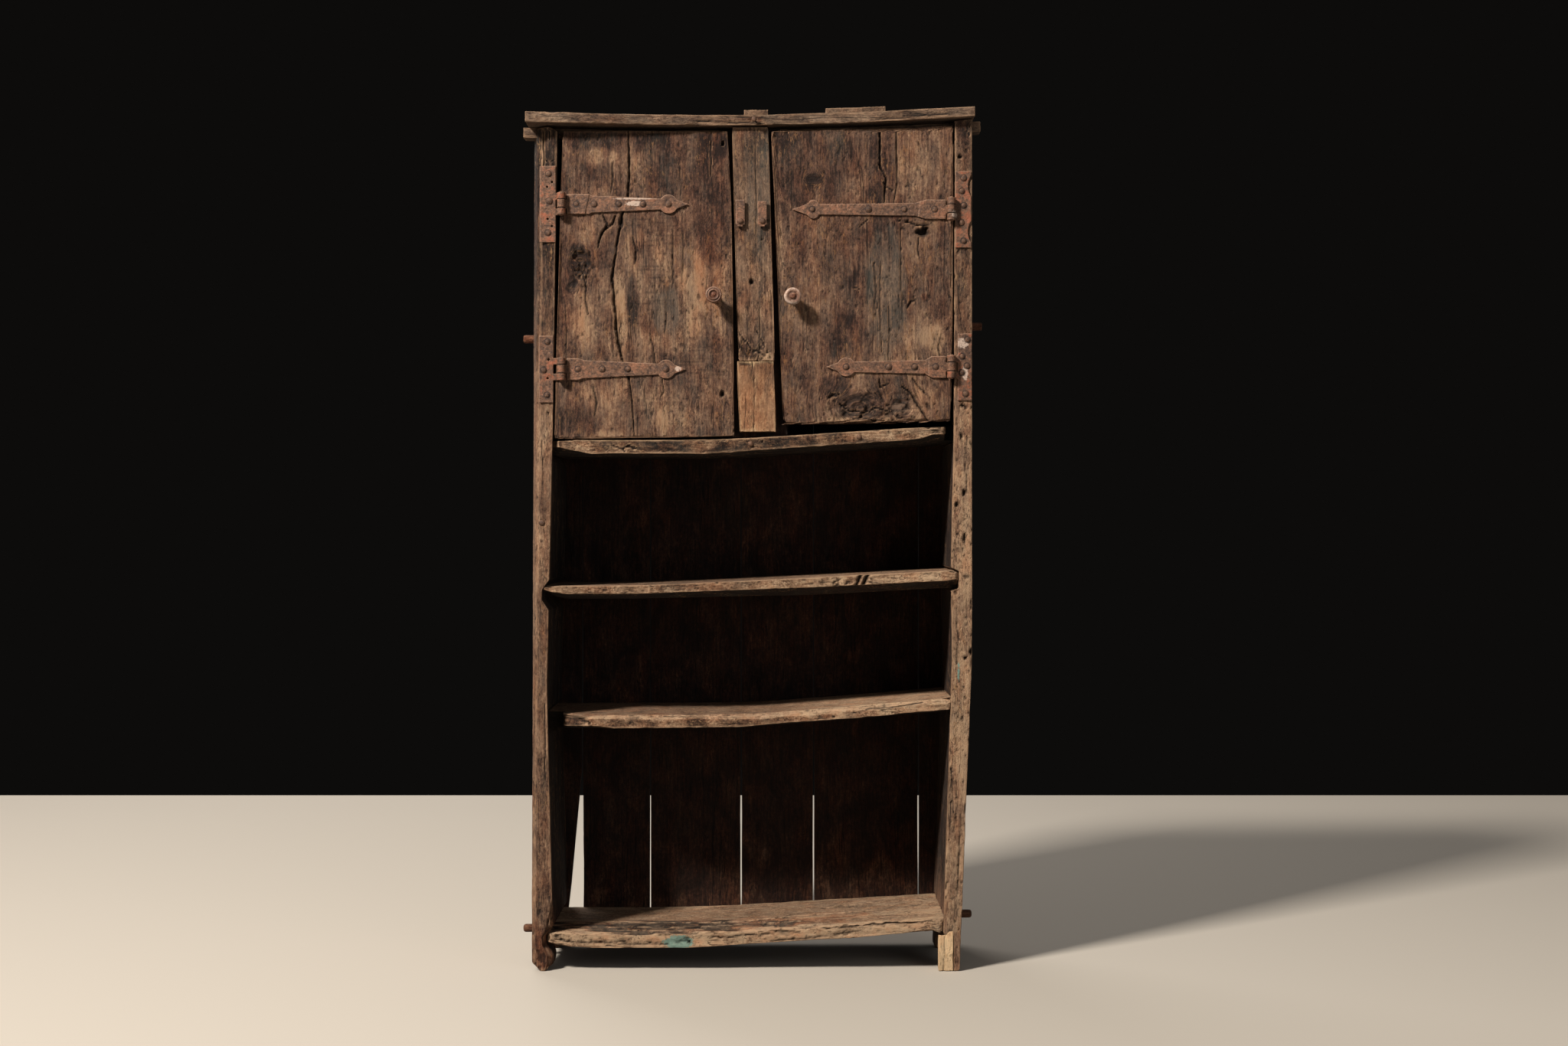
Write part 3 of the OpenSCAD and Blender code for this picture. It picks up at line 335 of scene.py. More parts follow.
class Board:
    """A weathered board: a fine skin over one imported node, which is then worn, cracked and stained.

    thin is the axis of its thickness and along the axis of its grain. step is the size of its grid
    on x, y and z, seed picks its noises, wear rounds its edges, chips break them, and probe is the
    spacing of the rays that measure its broad faces, or None where they are flat. calm is an axis
    to smooth those faces along, and crumbly shortens the marks of the grain."""

    def __init__(self, node, thin, along, step, seed, wear=3.0, chips=5.0, probe=None, shape=None,
                 calm=None, crumbly=1.0):
        self.node, self.thin, self.along, self.seed = node, thin, along, seed
        self.crumbly = crumbly
        self.across = 3 - thin - along
        self.cad = CadShape(node)
        self.axes = [k for k in range(3) if k != thin]
        self.measure(probe)
        if calm is not None:
            way = self.axes.index(calm)
            self.skin_low, self.skin_high = calmed(self.skin_low, way), calmed(self.skin_high, way)
        size = self.cad.high - self.cad.low
        size[thin] = np.median(self.skin_high - self.skin_low)
        box, self.faces = lattice([stops(size[k], step[k]) for k in range(3)])
        self.box, self.size = box, size
        self.edge = self.edge_nearness(RUBBED_WIDTH)
        worn = self.worn_box(box, size, wear, chips)
        if shape is not None:
            worn = shape(worn, size, self.cad.low)
        self.points = self.laid_on_node(worn / size)
        self.home = self.points.copy()
        self.normals = point_normals(self.points, self.faces)
        self.marks = {mark: np.zeros(len(box)) for mark in ("crack", "worn", "tone", "warm", "paint")}
        self.knots = []

    def measure(self, probe):
        """Measures the node's outline and, where it isn't flat, its two broad faces."""
        low, high = self.cad.low, self.cad.high
        self.places, self.outline = [], []
        for a, b in (self.axes, self.axes[::-1]):
            count = max(12, int((high[a] - low[a]) / 4))
            places = np.linspace(low[a] + 0.4, high[a] - 0.4, count)
            self.places.append(places)
            self.outline.append(self.cad.reach(a, places, b))
        if probe is None:
            self.skin_places = [np.array([low[k], high[k]]) for k in self.axes]
            self.skin_low = np.full((2, 2), low[self.thin])
            self.skin_high = np.full((2, 2), high[self.thin])
            return
        self.skin_places = [
            np.linspace(low[k] + 0.6, high[k] - 0.6, max(3, int((high[k] - low[k]) / probe)))
            for k in self.axes
        ]
        self.skin_low, self.skin_high = self.cad.skins(self.thin, *self.skin_places)

    def edge_nearness(self, width):
        """1 on the board's edges, falling to 0 at a width from them."""
        gaps = np.sort(np.minimum(self.box, self.size - self.box), axis=1)
        return np.clip(1 - gaps[:, 1] / width, 0, 1)

    def worn_box(self, box, size, wear, chips):
        """The box with its edges rounded by use, more in some places, and chipped here and there."""
        radius = wear * (0.55 + 0.9 * noise(box, 70, self.seed))
        radius += chips * ease(rough_noise(box, 34, self.seed + 5), 0.60, 0.78)
        radius = np.minimum(radius, 0.46 * size.min())[:, None]
        core = np.clip(box, radius, size - radius)
        out = box - core
        return core + out * radius / np.maximum(np.linalg.norm(out, axis=1, keepdims=True), 1e-9)

    def laid_on_node(self, part):
        """The board's points, where part is each one's share of the way across the node."""
        a_axis, b_axis = self.axes
        (a_places, b_places), (b_range, a_range) = self.places, self.outline
        a = self.cad.low[a_axis] + part[:, a_axis] * (self.cad.high - self.cad.low)[a_axis]
        b = self.cad.low[b_axis] + part[:, b_axis] * (self.cad.high - self.cad.low)[b_axis]
        for _ in range(4):
            b_low, b_high = (np.interp(a, a_places, side) for side in b_range)
            b = b_low + part[:, b_axis] * (b_high - b_low)
            a_low, a_high = (np.interp(b, b_places, side) for side in a_range)
            a = a_low + part[:, a_axis] * (a_high - a_low)
        low, high = (table_at(*self.skin_places, sheet, a, b) for sheet in (self.skin_low, self.skin_high))
        points = np.empty((len(part), 3))
        points[:, a_axis] = a
        points[:, b_axis] = b
        points[:, self.thin] = low + part[:, self.thin] * (high - low)
        return points

    def facing(self, direction):
        """How much each point faces a direction, from 0 to 1."""
        return np.clip(self.normals @ np.asarray(direction, float), 0, 1)

    def flat(self, face=FRONT):
        """The board's points as seen straight on from a face: the two other coordinates."""
        return self.home[:, [k for k in range(3) if abs(face[k]) < 0.5]]

    def far_from(self, place, radius, face):
        """How far each point is from a place on a face, where 1 is an oval's edge."""
        away = (self.flat(face) - place) / np.asarray(radius, float)
        return np.hypot(away[:, 0], away[:, 1])

    def darken(self, shade, face):
        """Lays the dark of cracks and holes on a face."""
        on_face = self.facing(face) > ON_FACE
        self.marks["crack"] = np.maximum(self.marks["crack"], shade * on_face)

    def grain_wave(self, across, along):
        """The size of a noise whose waves lie along the grain."""
        wave = np.full(3, float(across))
        wave[self.along] = along
        return wave

    def sink(self, depth, face=FRONT):
        """Cuts into a face of the board by a depth that each point has."""
        weight = ease(self.facing(face), 0.25, 0.8) * depth
        self.points -= weight[:, None] * np.asarray(face, float)

    def stop_short(self, limit, way, reach, slant=0.0):
        """Ends the board at a place along its length, over a reach behind its front edge. A slant
        breaks the new corner off."""
        behind = self.home[:, Y] - self.cad.low[Y]
        beyond = np.maximum(way * (self.home[:, self.along] - limit), 0)
        self.points[:, self.along] -= 0.97 * way * beyond * (1 - ease(behind, reach, reach + 6))
        # The face of the step is painted black: painted shade in the gap beside the plank.
        self.marks["crack"][(beyond > 0) & (behind > reach - 2) & (behind < reach + 9)] = 1.0
        near = np.clip(1 - way * (limit - self.points[:, self.along]) / 46, 0, 1)
        self.points[:, Y] += slant * near * np.clip(1 - behind / 60, 0, 1)
        self.home = self.points.copy()
        self.normals = point_normals(self.points, self.faces)

    def erode(self, depth, wave, seed=0, layers=2):
        """Wears the whole skin inwards by a noise."""
        amount = depth * rough_noise(self.home, wave, self.seed + seed, layers)
        self.points -= amount[:, None] * self.normals

    def furrow(self, depth, across=5.0, along=130.0, seed=3):
        """Grooves worn along the softer grain, deeper in some places than in others."""
        grain = rough_noise(self.home, self.grain_wave(across, along), self.seed + seed)
        strength = 0.35 + 1.3 * noise(self.home, self.grain_wave(45, 160), self.seed + seed + 1)
        amount = depth * ease(grain, 0.35, 0.75) * strength
        self.points -= amount[:, None] * self.normals

    def crack(self, width, depth, path, ends=0.35, wobble=2.5, face=FRONT):
        """Opens a crack along a path on a face. ends is how much of its width is left at its tips."""
        sway = [rough_noise(self.home, 15, self.seed + k, 4) - 0.5 for k in (41, 43)]
        flat = self.flat(face) + 2 * wobble * np.stack(sway, axis=1)
        gap, along = path_distance(flat, path)
        half = width / 2 * (ends + (1 - ends) * np.sqrt(np.sin(np.pi * np.clip(along, 0.001, 0.999))))
        half *= 0.6 + 0.8 * noise(self.home, 14, self.seed + 47)
        cut = np.clip(1 - gap / np.maximum(half, 0.2), 0, 1)
        self.sink(depth * np.sqrt(cut), face)
        shade = np.clip(1.25 - gap / np.maximum(half + 1.2, 0.9), 0, 1)
        self.darken(shade * min(1, 0.4 + depth / 8), face)
        lip = np.clip(1 - np.abs(gap - half - 2.5) / 3, 0, 1) * (self.facing(face) > ON_FACE)
        self.marks["worn"] = np.maximum(self.marks["worn"], 0.35 * lip)

    def hole(self, place, radius, depth, ragged=0.35, face=FRONT):
        """A hole or pit in a face."""
        gap = self.far_from(place, radius, face)
        gap *= 1 - ragged / 2 + ragged * noise(self.home, min(radius) * 1.2, self.seed + 51)
        self.sink(depth * (1 - ease(gap, 0.55, 1.1)), face)
        self.darken(1 - ease(gap, 0.7, 1.35), face)

    def pits(self, depth, wave, share, place=None, radius=(60, 60), face=FRONT):
        """Small torn-out pits over a share of a face, or of an oval patch of it."""
        torn = rough_noise(self.home, wave, self.seed + 55, 2)
        level = 0.78 - 0.3 * share
        cut = ease(torn, level, level + 0.12)
        if place is not None:
            gap = self.far_from(place, radius, face)
            gap += 0.6 * (noise(self.home, 20, self.seed + 56) - 0.5)
            cut *= 1 - ease(gap, 0.7, 1.15)
        self.sink(depth * cut, face)
        self.darken(0.75 * cut, face)

    def scratches(self, place, radius, gap, slant, depth=0.5, face=FRONT):
        """Fine saw scratches across the grain in an oval patch of a face."""
        flat = self.flat(face)
        inside = 1 - ease(self.far_from(place, radius, face), 0.6, 1.1)
        line = flat[:, 1] + slant * flat[:, 0] + 5 * noise(self.home, 60, self.seed + 75)
        wave = np.abs((line / gap) % 1 - 0.5) * 2
        cut = ease(wave, 0.55, 1.0) * inside * ease(noise(self.home, (34, 34, 7), self.seed + 76), 0.35, 0.6)
        self.sink(depth * cut, face)
        self.darken(0.55 * cut, face)

    def knot(self, place, radius, depth, dark, face=FRONT):
        """A knot: the grain runs round it and its heart is sunk, ringed and dark."""
        self.knots.append((np.asarray(place, float), np.asarray(radius, float), face))
        gap = self.far_from(place, radius, face)
        gap *= 0.8 + 0.4 * noise(self.home, 22, self.seed + 61)
        rings = 0.5 + 0.5 * np.cos(gap * 19)
        heart = 1 - ease(gap, 0.5, 1.15)
        self.sink(depth * heart * (0.5 + 0.5 * rings * noise(self.home, 9, self.seed + 62)), face)
        self.marks["tone"] -= dark * (1 - ease(gap, 0.6, 1.7)) * (self.facing(face) > ON_FACE)
        self.darken(0.7 * dark * heart * ease(noise(self.home, 6, self.seed + 63), 0.5, 0.8), face)

    def stain(self, mark, amount, place, radius, ragged=0.9, soft=0.6, face=FRONT):
        """Adds to a mark in a ragged patch on a face."""
        gap = self.far_from(place, radius, face)
        gap += ragged * (rough_noise(self.home, self.grain_wave(14, 60), self.seed + 71) - 0.5)
        inside = 1 - ease(gap, 1 - soft / 2, 1 + soft / 2)
        self.marks[mark] += amount * inside * (self.facing(face) > ON_FACE)

    def age(self, face=FRONT, knots=(), pits=(), scratches=(), cracks=(), holes=(), tones=(), warmths=(),
            paints=()):
        """Lays lists of marks on a face. Each mark is a row of the values that its own method takes."""
        for work, rows in ((self.knot, knots), (self.pits, pits), (self.scratches, scratches),
                           (self.crack, cracks), (self.hole, holes)):
            for row in rows:
                work(*row, face=face)
        for mark, rows in (("tone", tones), ("warm", warmths), ("paint", paints)):
            for row in rows:
                self.stain(mark, *row, face=face)

    def grain(self):
        """Each point's place in the grain, in metres: across it, through the board and along it."""
        across = self.home[:, self.across].copy()
        along = self.home[:, self.along]
        across += 7 * (noise(self.home, self.grain_wave(90, 300), self.seed + 81) - 0.5)
        for place, radius, face in self.knots:
            flat_axes = [k for k in range(3) if abs(face[k]) < 0.5]
            centre = dict(zip(flat_axes, place))
            size = dict(zip(flat_axes, radius))
            u = (self.home[:, self.across] - centre[self.across]) / size[self.across]
            v = (along - centre[self.along]) / size[self.along]
            far = np.maximum(u * u + v * v, 1e-6)
            shift = -u * size[self.across] / np.maximum(far, 1)
            ring = 0.4 * size[self.across] * np.sqrt(far) - u * size[self.across]
            across += np.where(far < 1, ring, shift * np.exp(-far / 12))
        grain = np.stack([across, self.home[:, self.thin], along * self.crumbly], axis=1)
        return grain * MM + 0.37 * self.seed

    def make(self, name, material):
        """Turns the board into a piece that stands for its node."""
        normals = point_normals(self.points, self.faces)
        ridge = bulge(self.points, normals, self.faces)
        rub = 0.1 + 0.9 * rough_noise(self.home, 18, self.seed + 91)
        self.marks["worn"] += ease(self.edge, 0.1, 1.0) * rub + ease(ridge, 0.03, 0.25) * 0.5
        self.marks["crack"] = np.maximum(self.marks["crack"], ease(-ridge, 0.10, 0.45) * 0.8)
        broad = ease(np.abs(self.normals[:, self.thin]), 0.5, 0.9) * (self.normals[:, Y] > -0.5)
        marks = dict(self.marks, grain=self.grain(), even=broad)
        finish_piece(make_mesh(name, self.points, self.faces, marks), material, self.node)


# Materials

def srgb(red, green, blue):
    """A colour as the eye numbers it, 0 to 255, made linear for a shader."""
    parts = (value / 255 for value in (red, green, blue))
    return tuple(p / 12.92 if p <= 0.04045 else ((p + 0.055) / 1.055) ** 2.4 for p in parts) + (1.0,)


def node(tree, kind, values=None, **settings):
    """Adds a node. values sets or links its inputs, by name or number."""
    made = tree.nodes.new(kind)
    for key, value in settings.items():
        setattr(made, key, value)
    for key, value in (values or {}).items():
        if isinstance(value, bpy.types.NodeSocket):
            tree.links.new(value, made.inputs[key])
        else:
            made.inputs[key].default_value = value
    return made


def reckoned(operation, tree, a, b=0.5, clamp=False):
    """One sum on two numbers, kept from 0 to 1 where it is clamped."""
    return node(tree, "ShaderNodeMath", {0: a, 1: b}, operation=operation, use_clamp=clamp).outputs[0]


times = functools.partial(reckoned, "MULTIPLY")
plus = functools.partial(reckoned, "ADD")
minus = functools.partial(reckoned, "SUBTRACT")


def step_between(tree, value, low, high):
    """0 where a value is below low, 1 above high and smooth between."""
    made = node(tree, "ShaderNodeMapRange", {"Value": value, "From Min": low, "From Max": high},
                interpolation_type="SMOOTHSTEP")
    return made.outputs["Result"]


def mixed(tree, share, a, b, kind="MIX"):
    """Two colours mixed by a share."""
    made = node(tree, "ShaderNodeMix", {0: share, 6: a, 7: b}, data_type="RGBA", blend_type=kind)
    return made.outputs[2]


def mark_node(tree, label):
    """A mark that the boards or the iron carry as an attribute, as a number."""
    return node(tree, "ShaderNodeAttribute", attribute_name=label).outputs["Fac"]


def noise_node(tree, place, stretch, detail=3.0, roughness=0.55, distortion=0.0):
    """Noise on a place stretched along each axis. stretch is waves per metre."""
    sized = node(tree, "ShaderNodeVectorMath", {0: place, 1: stretch}, operation="MULTIPLY")
    return node(tree, "ShaderNodeTexNoise",
                {"Vector": sized.outputs[0], "Scale": 1.0, "Detail": detail,
                 "Roughness": roughness, "Distortion": distortion})


def noise_value(*where, **how):
    """Noise from 0 to 1, with the same arguments as noise_node()."""
    return noise_node(*where, **how).outputs["Fac"]


def new_group(name, inputs, outputs):
    """A shader group with named inputs, each with its value or None for a vector, and outputs."""
    tree = bpy.data.node_groups.new(name, "ShaderNodeTree")
    for label, value in inputs.items():
        kind = "NodeSocketFloat"
        if value is None:
            kind = "NodeSocketVector"
        elif isinstance(value, tuple):
            kind = "NodeSocketColor"
        socket = tree.interface.new_socket(label, in_out="INPUT", socket_type=kind)
        if value is not None:
            socket.default_value = value
    for label, kind in outputs.items():
        tree.interface.new_socket(label, in_out="OUTPUT", socket_type=kind)
    return tree, tree.nodes.new("NodeGroupInput").outputs, tree.nodes.new("NodeGroupOutput").inputs


def grain_group():
    """Weathered oak: clouds of tone, fine fibres, open pores, long checks, pale scuffs and hue."""
    tree, given, result = new_group(
        "Weathered grain", {"Grain": None, "Bands": 0.04},
        dict.fromkeys(("Clouds", "Fibres", "Pores", "Checks", "Scuffs", "Tint", "Relief"),
                      "NodeSocketFloat"))
    place = given["Grain"]
    drift = noise_node(tree, place, (11, 11, 4), 3)
    centred = node(tree, "ShaderNodeVectorMath", {0: drift.outputs["Color"], 1: (0.5, 0.5, 0.5)},
                   operation="SUBTRACT")
    bent = node(tree, "ShaderNodeVectorMath", {0: centred.outputs[0], 1: (0.020, 0.010, 0.0), 2: place},
                operation="MULTIPLY_ADD").outputs[0]

    def layer(stretch, detail, roughness, where=bent, distortion=0.0):
        return noise_value(tree, where, stretch, detail, roughness, distortion)

    clouds = layer((21, 21, 12), 8, 0.60, place, 0.7)
    squeezed = node(tree, "ShaderNodeVectorMath", {0: bent, 1: (34, 22, 1.8)}, operation="MULTIPLY")
    bands = node(tree, "ShaderNodeTexWave",
                 {"Vector": squeezed.outputs[0], "Scale": 1.0, "Distortion": 6.0, "Detail": 4.0,
                  "Detail Scale": 1.4, "Detail Roughness": 0.65},
                 wave_type="BANDS", bands_direction="X", wave_profile="SAW").outputs["Fac"]
    long_fibres = layer((260, 260, 32), 5, 0.8)
    lumps = layer((150, 150, 110), 6, 0.9, place)
    fine = plus(tree, times(tree, long_fibres, 0.45), times(tree, lumps, 0.55))
    fibres = node(tree, "ShaderNodeMix", {0: given["Bands"], 2: fine, 3: bands},
                  data_type="FLOAT").outputs[0]
    open_patch = step_between(tree, layer((26, 26, 12), 3, 0.5, place), 0.40, 0.62)
    dashes = layer((330, 330, 110), 3, 0.6)
    pores = times(tree, step_between(tree, dashes, 0.57, 0.61), open_patch)
    line = reckoned("ABSOLUTE", tree, minus(tree, layer((62, 62, 2.2), 4, 0.5), 0.5))
    cracked = step_between(tree, layer((17, 17, 5), 3, 0.5, place), 0.50, 0.60)
    checks = times(tree, minus(tree, 1.0, step_between(tree, line, 0.003, 0.013)), cracked)
    rubbed = step_between(tree, layer((20, 20, 8), 4, 0.6, place), 0.46, 0.62)
    scuffs = times(tree, step_between(tree, layer((200, 200, 62), 5, 0.78), 0.54, 0.60), rubbed)
    tint = layer((38, 38, 13), 6, 0.64)
    grit = layer((520, 520, 300), 3, 0.75, place)
    relief = plus(tree, times(tree, fine, 1.1), times(tree, grit, 0.6))
    relief = plus(tree, relief, times(tree, layer((120, 120, 40), 4, 0.6), 0.7))
    relief = minus(tree, relief, times(tree, pores, 0.55))
    relief = minus(tree, relief, checks)
    relief = plus(tree, relief, times(tree, scuffs, 0.15))
    for socket, value in zip(result, (clouds, fibres, pores, checks, scuffs, tint, relief)):
        tree.links.new(value, socket)
    return tree


def dust_group():
    """Pale dust that lies on what faces up and in the hollows."""
    tree, given, result = new_group(
        "Dust", {"Color": (0.2, 0.2, 0.2, 1.0), "Dust Color": (0.5, 0.45, 0.4, 1.0), "Amount": 0.3},
        {"Color": "NodeSocketColor"})
    facing = node(tree, "ShaderNodeNewGeometry").outputs["Normal"]
    up = node(tree, "ShaderNodeSeparateXYZ", {0: facing}).outputs["Z"]
    place = node(tree, "ShaderNodeTexCoord").outputs["Object"]
    patches = noise_value(tree, place, (22, 22, 22), 5, 0.65)
    share = times(tree, step_between(tree, up, 0.1, 0.9), step_between(tree, patches, 0.3, 0.7))
    share = times(tree, share, given["Amount"], True)
    tree.links.new(mixed(tree, share, given["Color"], given["Dust Color"]), result["Color"])
    return tree


def wear_group():
    """Colour changes that the marks make: worn edges, cracks, warm and cool stains and old paint."""
    tree, given, result = new_group(
        "Marks", {"Color": (0.2, 0.2, 0.2, 1.0), "Worn Color": (0.4, 0.3, 0.2, 1.0), "Wear": 1.0,
                  "Fibres": 0.5, "Tint": 0.5, "Tint Strength": 0.8},
        {"Color": "NodeSocketColor"})
    mark = functools.partial(mark_node, tree)
    colour = given["Color"]
    swing = times(tree, minus(tree, given["Tint"], 0.5), 4.0)
    warm = plus(tree, mark("warm"), times(tree, swing, given["Tint Strength"]))
    reddened = mixed(tree, 1.0, colour, srgb(250, 212, 192), "MULTIPLY")
    greyed = mixed(tree, 0.42, colour, srgb(92, 90, 80))
    colour = mixed(tree, times(tree, warm, 1.0, True), colour, reddened)
    colour = mixed(tree, times(tree, warm, -1.0, True), colour, greyed)
    worn = times(tree, mark("worn"), given["Wear"])
    rubbed = times(tree, worn, plus(tree, given["Fibres"], 0.35))
    rubbed = step_between(tree, rubbed, 0.15, 0.95)
    colour = mixed(tree, rubbed, colour, given["Worn Color"])
    place = node(tree, "ShaderNodeTexCoord").outputs["Object"]
    chipped = noise_value(tree, place, (260, 260, 260), 4, 0.7)
    painted = step_between(tree, plus(tree, mark("paint"), chipped), 1.02, 1.10)
    colour = mixed(tree, times(tree, painted, 0.85), colour, srgb(122, 158, 142))
    crack = times(tree, mark("crack"), 0.93, True)
    colour = mixed(tree, crack, colour, srgb(17, 11, 8))
    tree.links.new(colour, result["Color"])
    return tree


def place_group(tree, group, values):
    """Puts a group into a material with its own values."""
    return node(tree, "ShaderNodeGroup", values, node_tree=group).outputs


def new_material(name):
    """An empty material with its shader: the tree and the Principled node."""
    material = bpy.data.materials.new(name)
    material.use_nodes = True
    tree = material.node_tree
    tree.nodes.clear()
    shader = tree.nodes.new("ShaderNodeBsdfPrincipled")
    out = tree.nodes.new("ShaderNodeOutputMaterial")
    tree.links.new(shader.outputs["BSDF"], out.inputs["Surface"])
    return material, tree, shader


def link_surface(tree, shader, colour, roughness, height, relief):
    """Links a material's colour, roughness and relief, which is so many mm deep, to its shader."""
    tree.links.new(colour, shader.inputs["Base Color"])
    tree.links.new(roughness, shader.inputs["Roughness"])
    bump = node(tree, "ShaderNodeBump", {"Strength": 1.0, "Distance": relief * MM, "Height": height})
    tree.links.new(bump.outputs["Normal"], shader.inputs["Normal"])


def colour_steps(tree, value, colours):
    """A ramp of evenly spaced colours, dark first, each as numbers for srgb()."""
    ramp = node(tree, "ShaderNodeValToRGB", {0: value})
    steps = ramp.color_ramp
    while len(steps.elements) < len(colours):
        steps.elements.new(0.5)
    for k, colour in enumerate(colours):
        steps.elements[k].position = k / (len(colours) - 1)
        steps.elements[k].color = srgb(*colour)
    return ramp.outputs["Color"]


BROAD_CALM = 0.62     # how much fainter the clouds are on broad faces than on edges and fronts


def weathered_wood(name, colours, worn, contrast=1.0, wear=1.0, dust=0.3, pores=1.0, relief=3.0,
                   roughness=0.82, scuff=None, scuffed=0.75):
    """Old dry oak: clouds and fibres over a ramp of browns, scuffed, pored and checked, with its marks."""
    material, tree, shader = new_material(name)
    grain = node(tree, "ShaderNodeAttribute", attribute_name="grain").outputs["Vector"]
    wood = place_group(tree, GRAIN, {"Grain": grain})

    def swing(value, amount):
        return times(tree, minus(tree, value, 0.5), amount)

    calm = minus(tree, 1.0, times(tree, mark_node(tree, "even"), BROAD_CALM))
    clouds = times(tree, swing(wood["Clouds"], 1.7 * contrast), calm)
    value = plus(tree, clouds, swing(wood["Fibres"], 3.3 * contrast))
    value = plus(tree, value, times(tree, mark_node(tree, "tone"), 0.25))
    value = plus(tree, value, 0.5, True)
    colour = colour_steps(tree, value, colours)
    share = times(tree, wood["Scuffs"], scuffed)
    colour = mixed(tree, share, colour, srgb(*(scuff or worn)))
    opened = plus(tree, times(tree, wood["Pores"], 0.7 * pores), wood["Checks"], True)
    colour = mixed(tree, times(tree, opened, 0.85), colour, srgb(*colours[0]))
    marked = place_group(tree, MARKS, {"Color": colour, "Worn Color": srgb(*worn), "Wear": wear,
                                       "Fibres": wood["Fibres"], "Tint": wood["Tint"]})
    dusty = place_group(tree, DUST, {"Color": marked["Color"], "Dust Color": srgb(150, 128, 106),
                                     "Amount": dust})
    rough = plus(tree, times(tree, wood["Fibres"], 0.12), roughness - 0.06)
    shader.inputs["Specular IOR Level"].default_value = 0.25
    link_surface(tree, shader, dusty["Color"], rough, wood["Relief"], relief)
    return material


def rust_group():
    """Forged iron gone to rust: brown skin, orange bloom, pale worn scale with some painted highlight, and
    pits.
    """
    tree, given, result = new_group(
        "Rust", {"Place": None, "Bloom": 0.5, "Scale": 0.5},
        {"Color": "NodeSocketColor", "Roughness": "NodeSocketFloat", "Relief": "NodeSocketFloat"})
    mark = functools.partial(mark_node, tree)
    broad = noise_value(tree, given["Place"], (38, 38, 46), 6, 0.62, 0.4)
    small = noise_value(tree, given["Place"], (210, 210, 230), 6, 0.8)
    grit = noise_value(tree, given["Place"], (1100, 1100, 1100), 3, 0.6)
    value = plus(tree, times(tree, broad, 0.35), times(tree, small, 0.65))
    colour = colour_steps(tree, step_between(tree, value, 0.33, 0.66),
                          [(46, 30, 22), (92, 64, 47), (124, 88, 64), (160, 122, 92)])
    rusted = plus(tree, times(tree, small, 0.5), times(tree, broad, 0.5))
    bloom = step_between(tree, rusted, 0.50, 0.58)
    colour = mixed(tree, times(tree, bloom, given["Bloom"]), colour, srgb(152, 80, 50))
    # The pale mark gives flakes of pale scale, and where it runs along a strap's top edge a painted
    # highlight.
    flaking_and_highlit = plus(tree, mark("pale"), small)
    flakes_and_highlight = step_between(tree, flaking_and_highlit, 0.94, 1.04)
    colour = mixed(tree, times(tree, flakes_and_highlight, 0.85), colour, srgb(204, 178, 158))
    dusty = times(tree, step_between(tree, small, 0.56, 0.66), given["Scale"])
    colour = mixed(tree, dusty, colour, srgb(168, 134, 112))
    specks = step_between(tree, grit, 0.60, 0.72)
    colour = mixed(tree, times(tree, specks, 0.3), colour, srgb(50, 32, 25))
    # The worn mark lightens rubbed edges, and on the upper edges of the forged pieces it is partly painted
    # highlight.
    colour = mixed(tree, times(tree, mark("worn"), 0.75, True), colour, srgb(186, 148, 120))
    colour = mixed(tree, times(tree, mark("crack"), 0.9, True), colour, srgb(26, 16, 12))
    relief = plus(tree, times(tree, small, 0.7), times(tree, grit, 0.3))
    tree.links.new(colour, result["Color"])
    tree.links.new(plus(tree, times(tree, small, 0.3), 0.5), result["Roughness"])
    tree.links.new(relief, result["Relief"])
    return tree


def rusty_iron(name, bloom, scale, shade=1.0):
    """The iron of hinges, nails and turn buttons."""
    material, tree, shader = new_material(name)
    place = node(tree, "ShaderNodeTexCoord").outputs["Object"]
    rust = place_group(tree, RUST, {"Place": place, "Bloom": bloom, "Scale": scale})
    shaded = mixed(tree, 1.0, rust["Color"], (shade, shade, shade, 1.0), "MULTIPLY")
    shader.inputs["Metallic"].default_value = 0.25
    link_surface(tree, shader, shaded, rust["Roughness"], rust["Relief"], 1.4)
    return material


GRAIN = grain_group()
DUST = dust_group()
MARKS = wear_group()
RUST = rust_group()

DOOR_OAK = weathered_wood(
    "door_oak_mottled",
    [(38, 26, 20), (72, 50, 39), (104, 75, 58), (132, 99, 76), (168, 132, 100)],
    (152, 114, 84), contrast=1.0, dust=0.15, scuff=(150, 108, 72))
SIDE_OAK = weathered_wood(
    "side_oak_dry",
    [(30, 20, 14), (76, 54, 41), (114, 84, 64), (146, 112, 86), (184, 148, 114)],
    (172, 134, 102), contrast=0.95, dust=0.2, scuff=(164, 124, 86))
SHELF_OAK = weathered_wood(
    "shelf_oak_worn",
    [(28, 18, 12), (80, 56, 40), (126, 93, 68), (162, 127, 97), (200, 164, 128)],
    (192, 153, 118), contrast=1.05, dust=0.3, scuff=(186, 146, 106))
TOP_OAK = weathered_wood(
    "top_oak_dry",
    [(28, 20, 15), (72, 54, 42), (104, 81, 64), (134, 107, 85), (174, 142, 112)],
    (164, 128, 98), contrast=1.0, dust=0.35, scuff=(156, 122, 90))
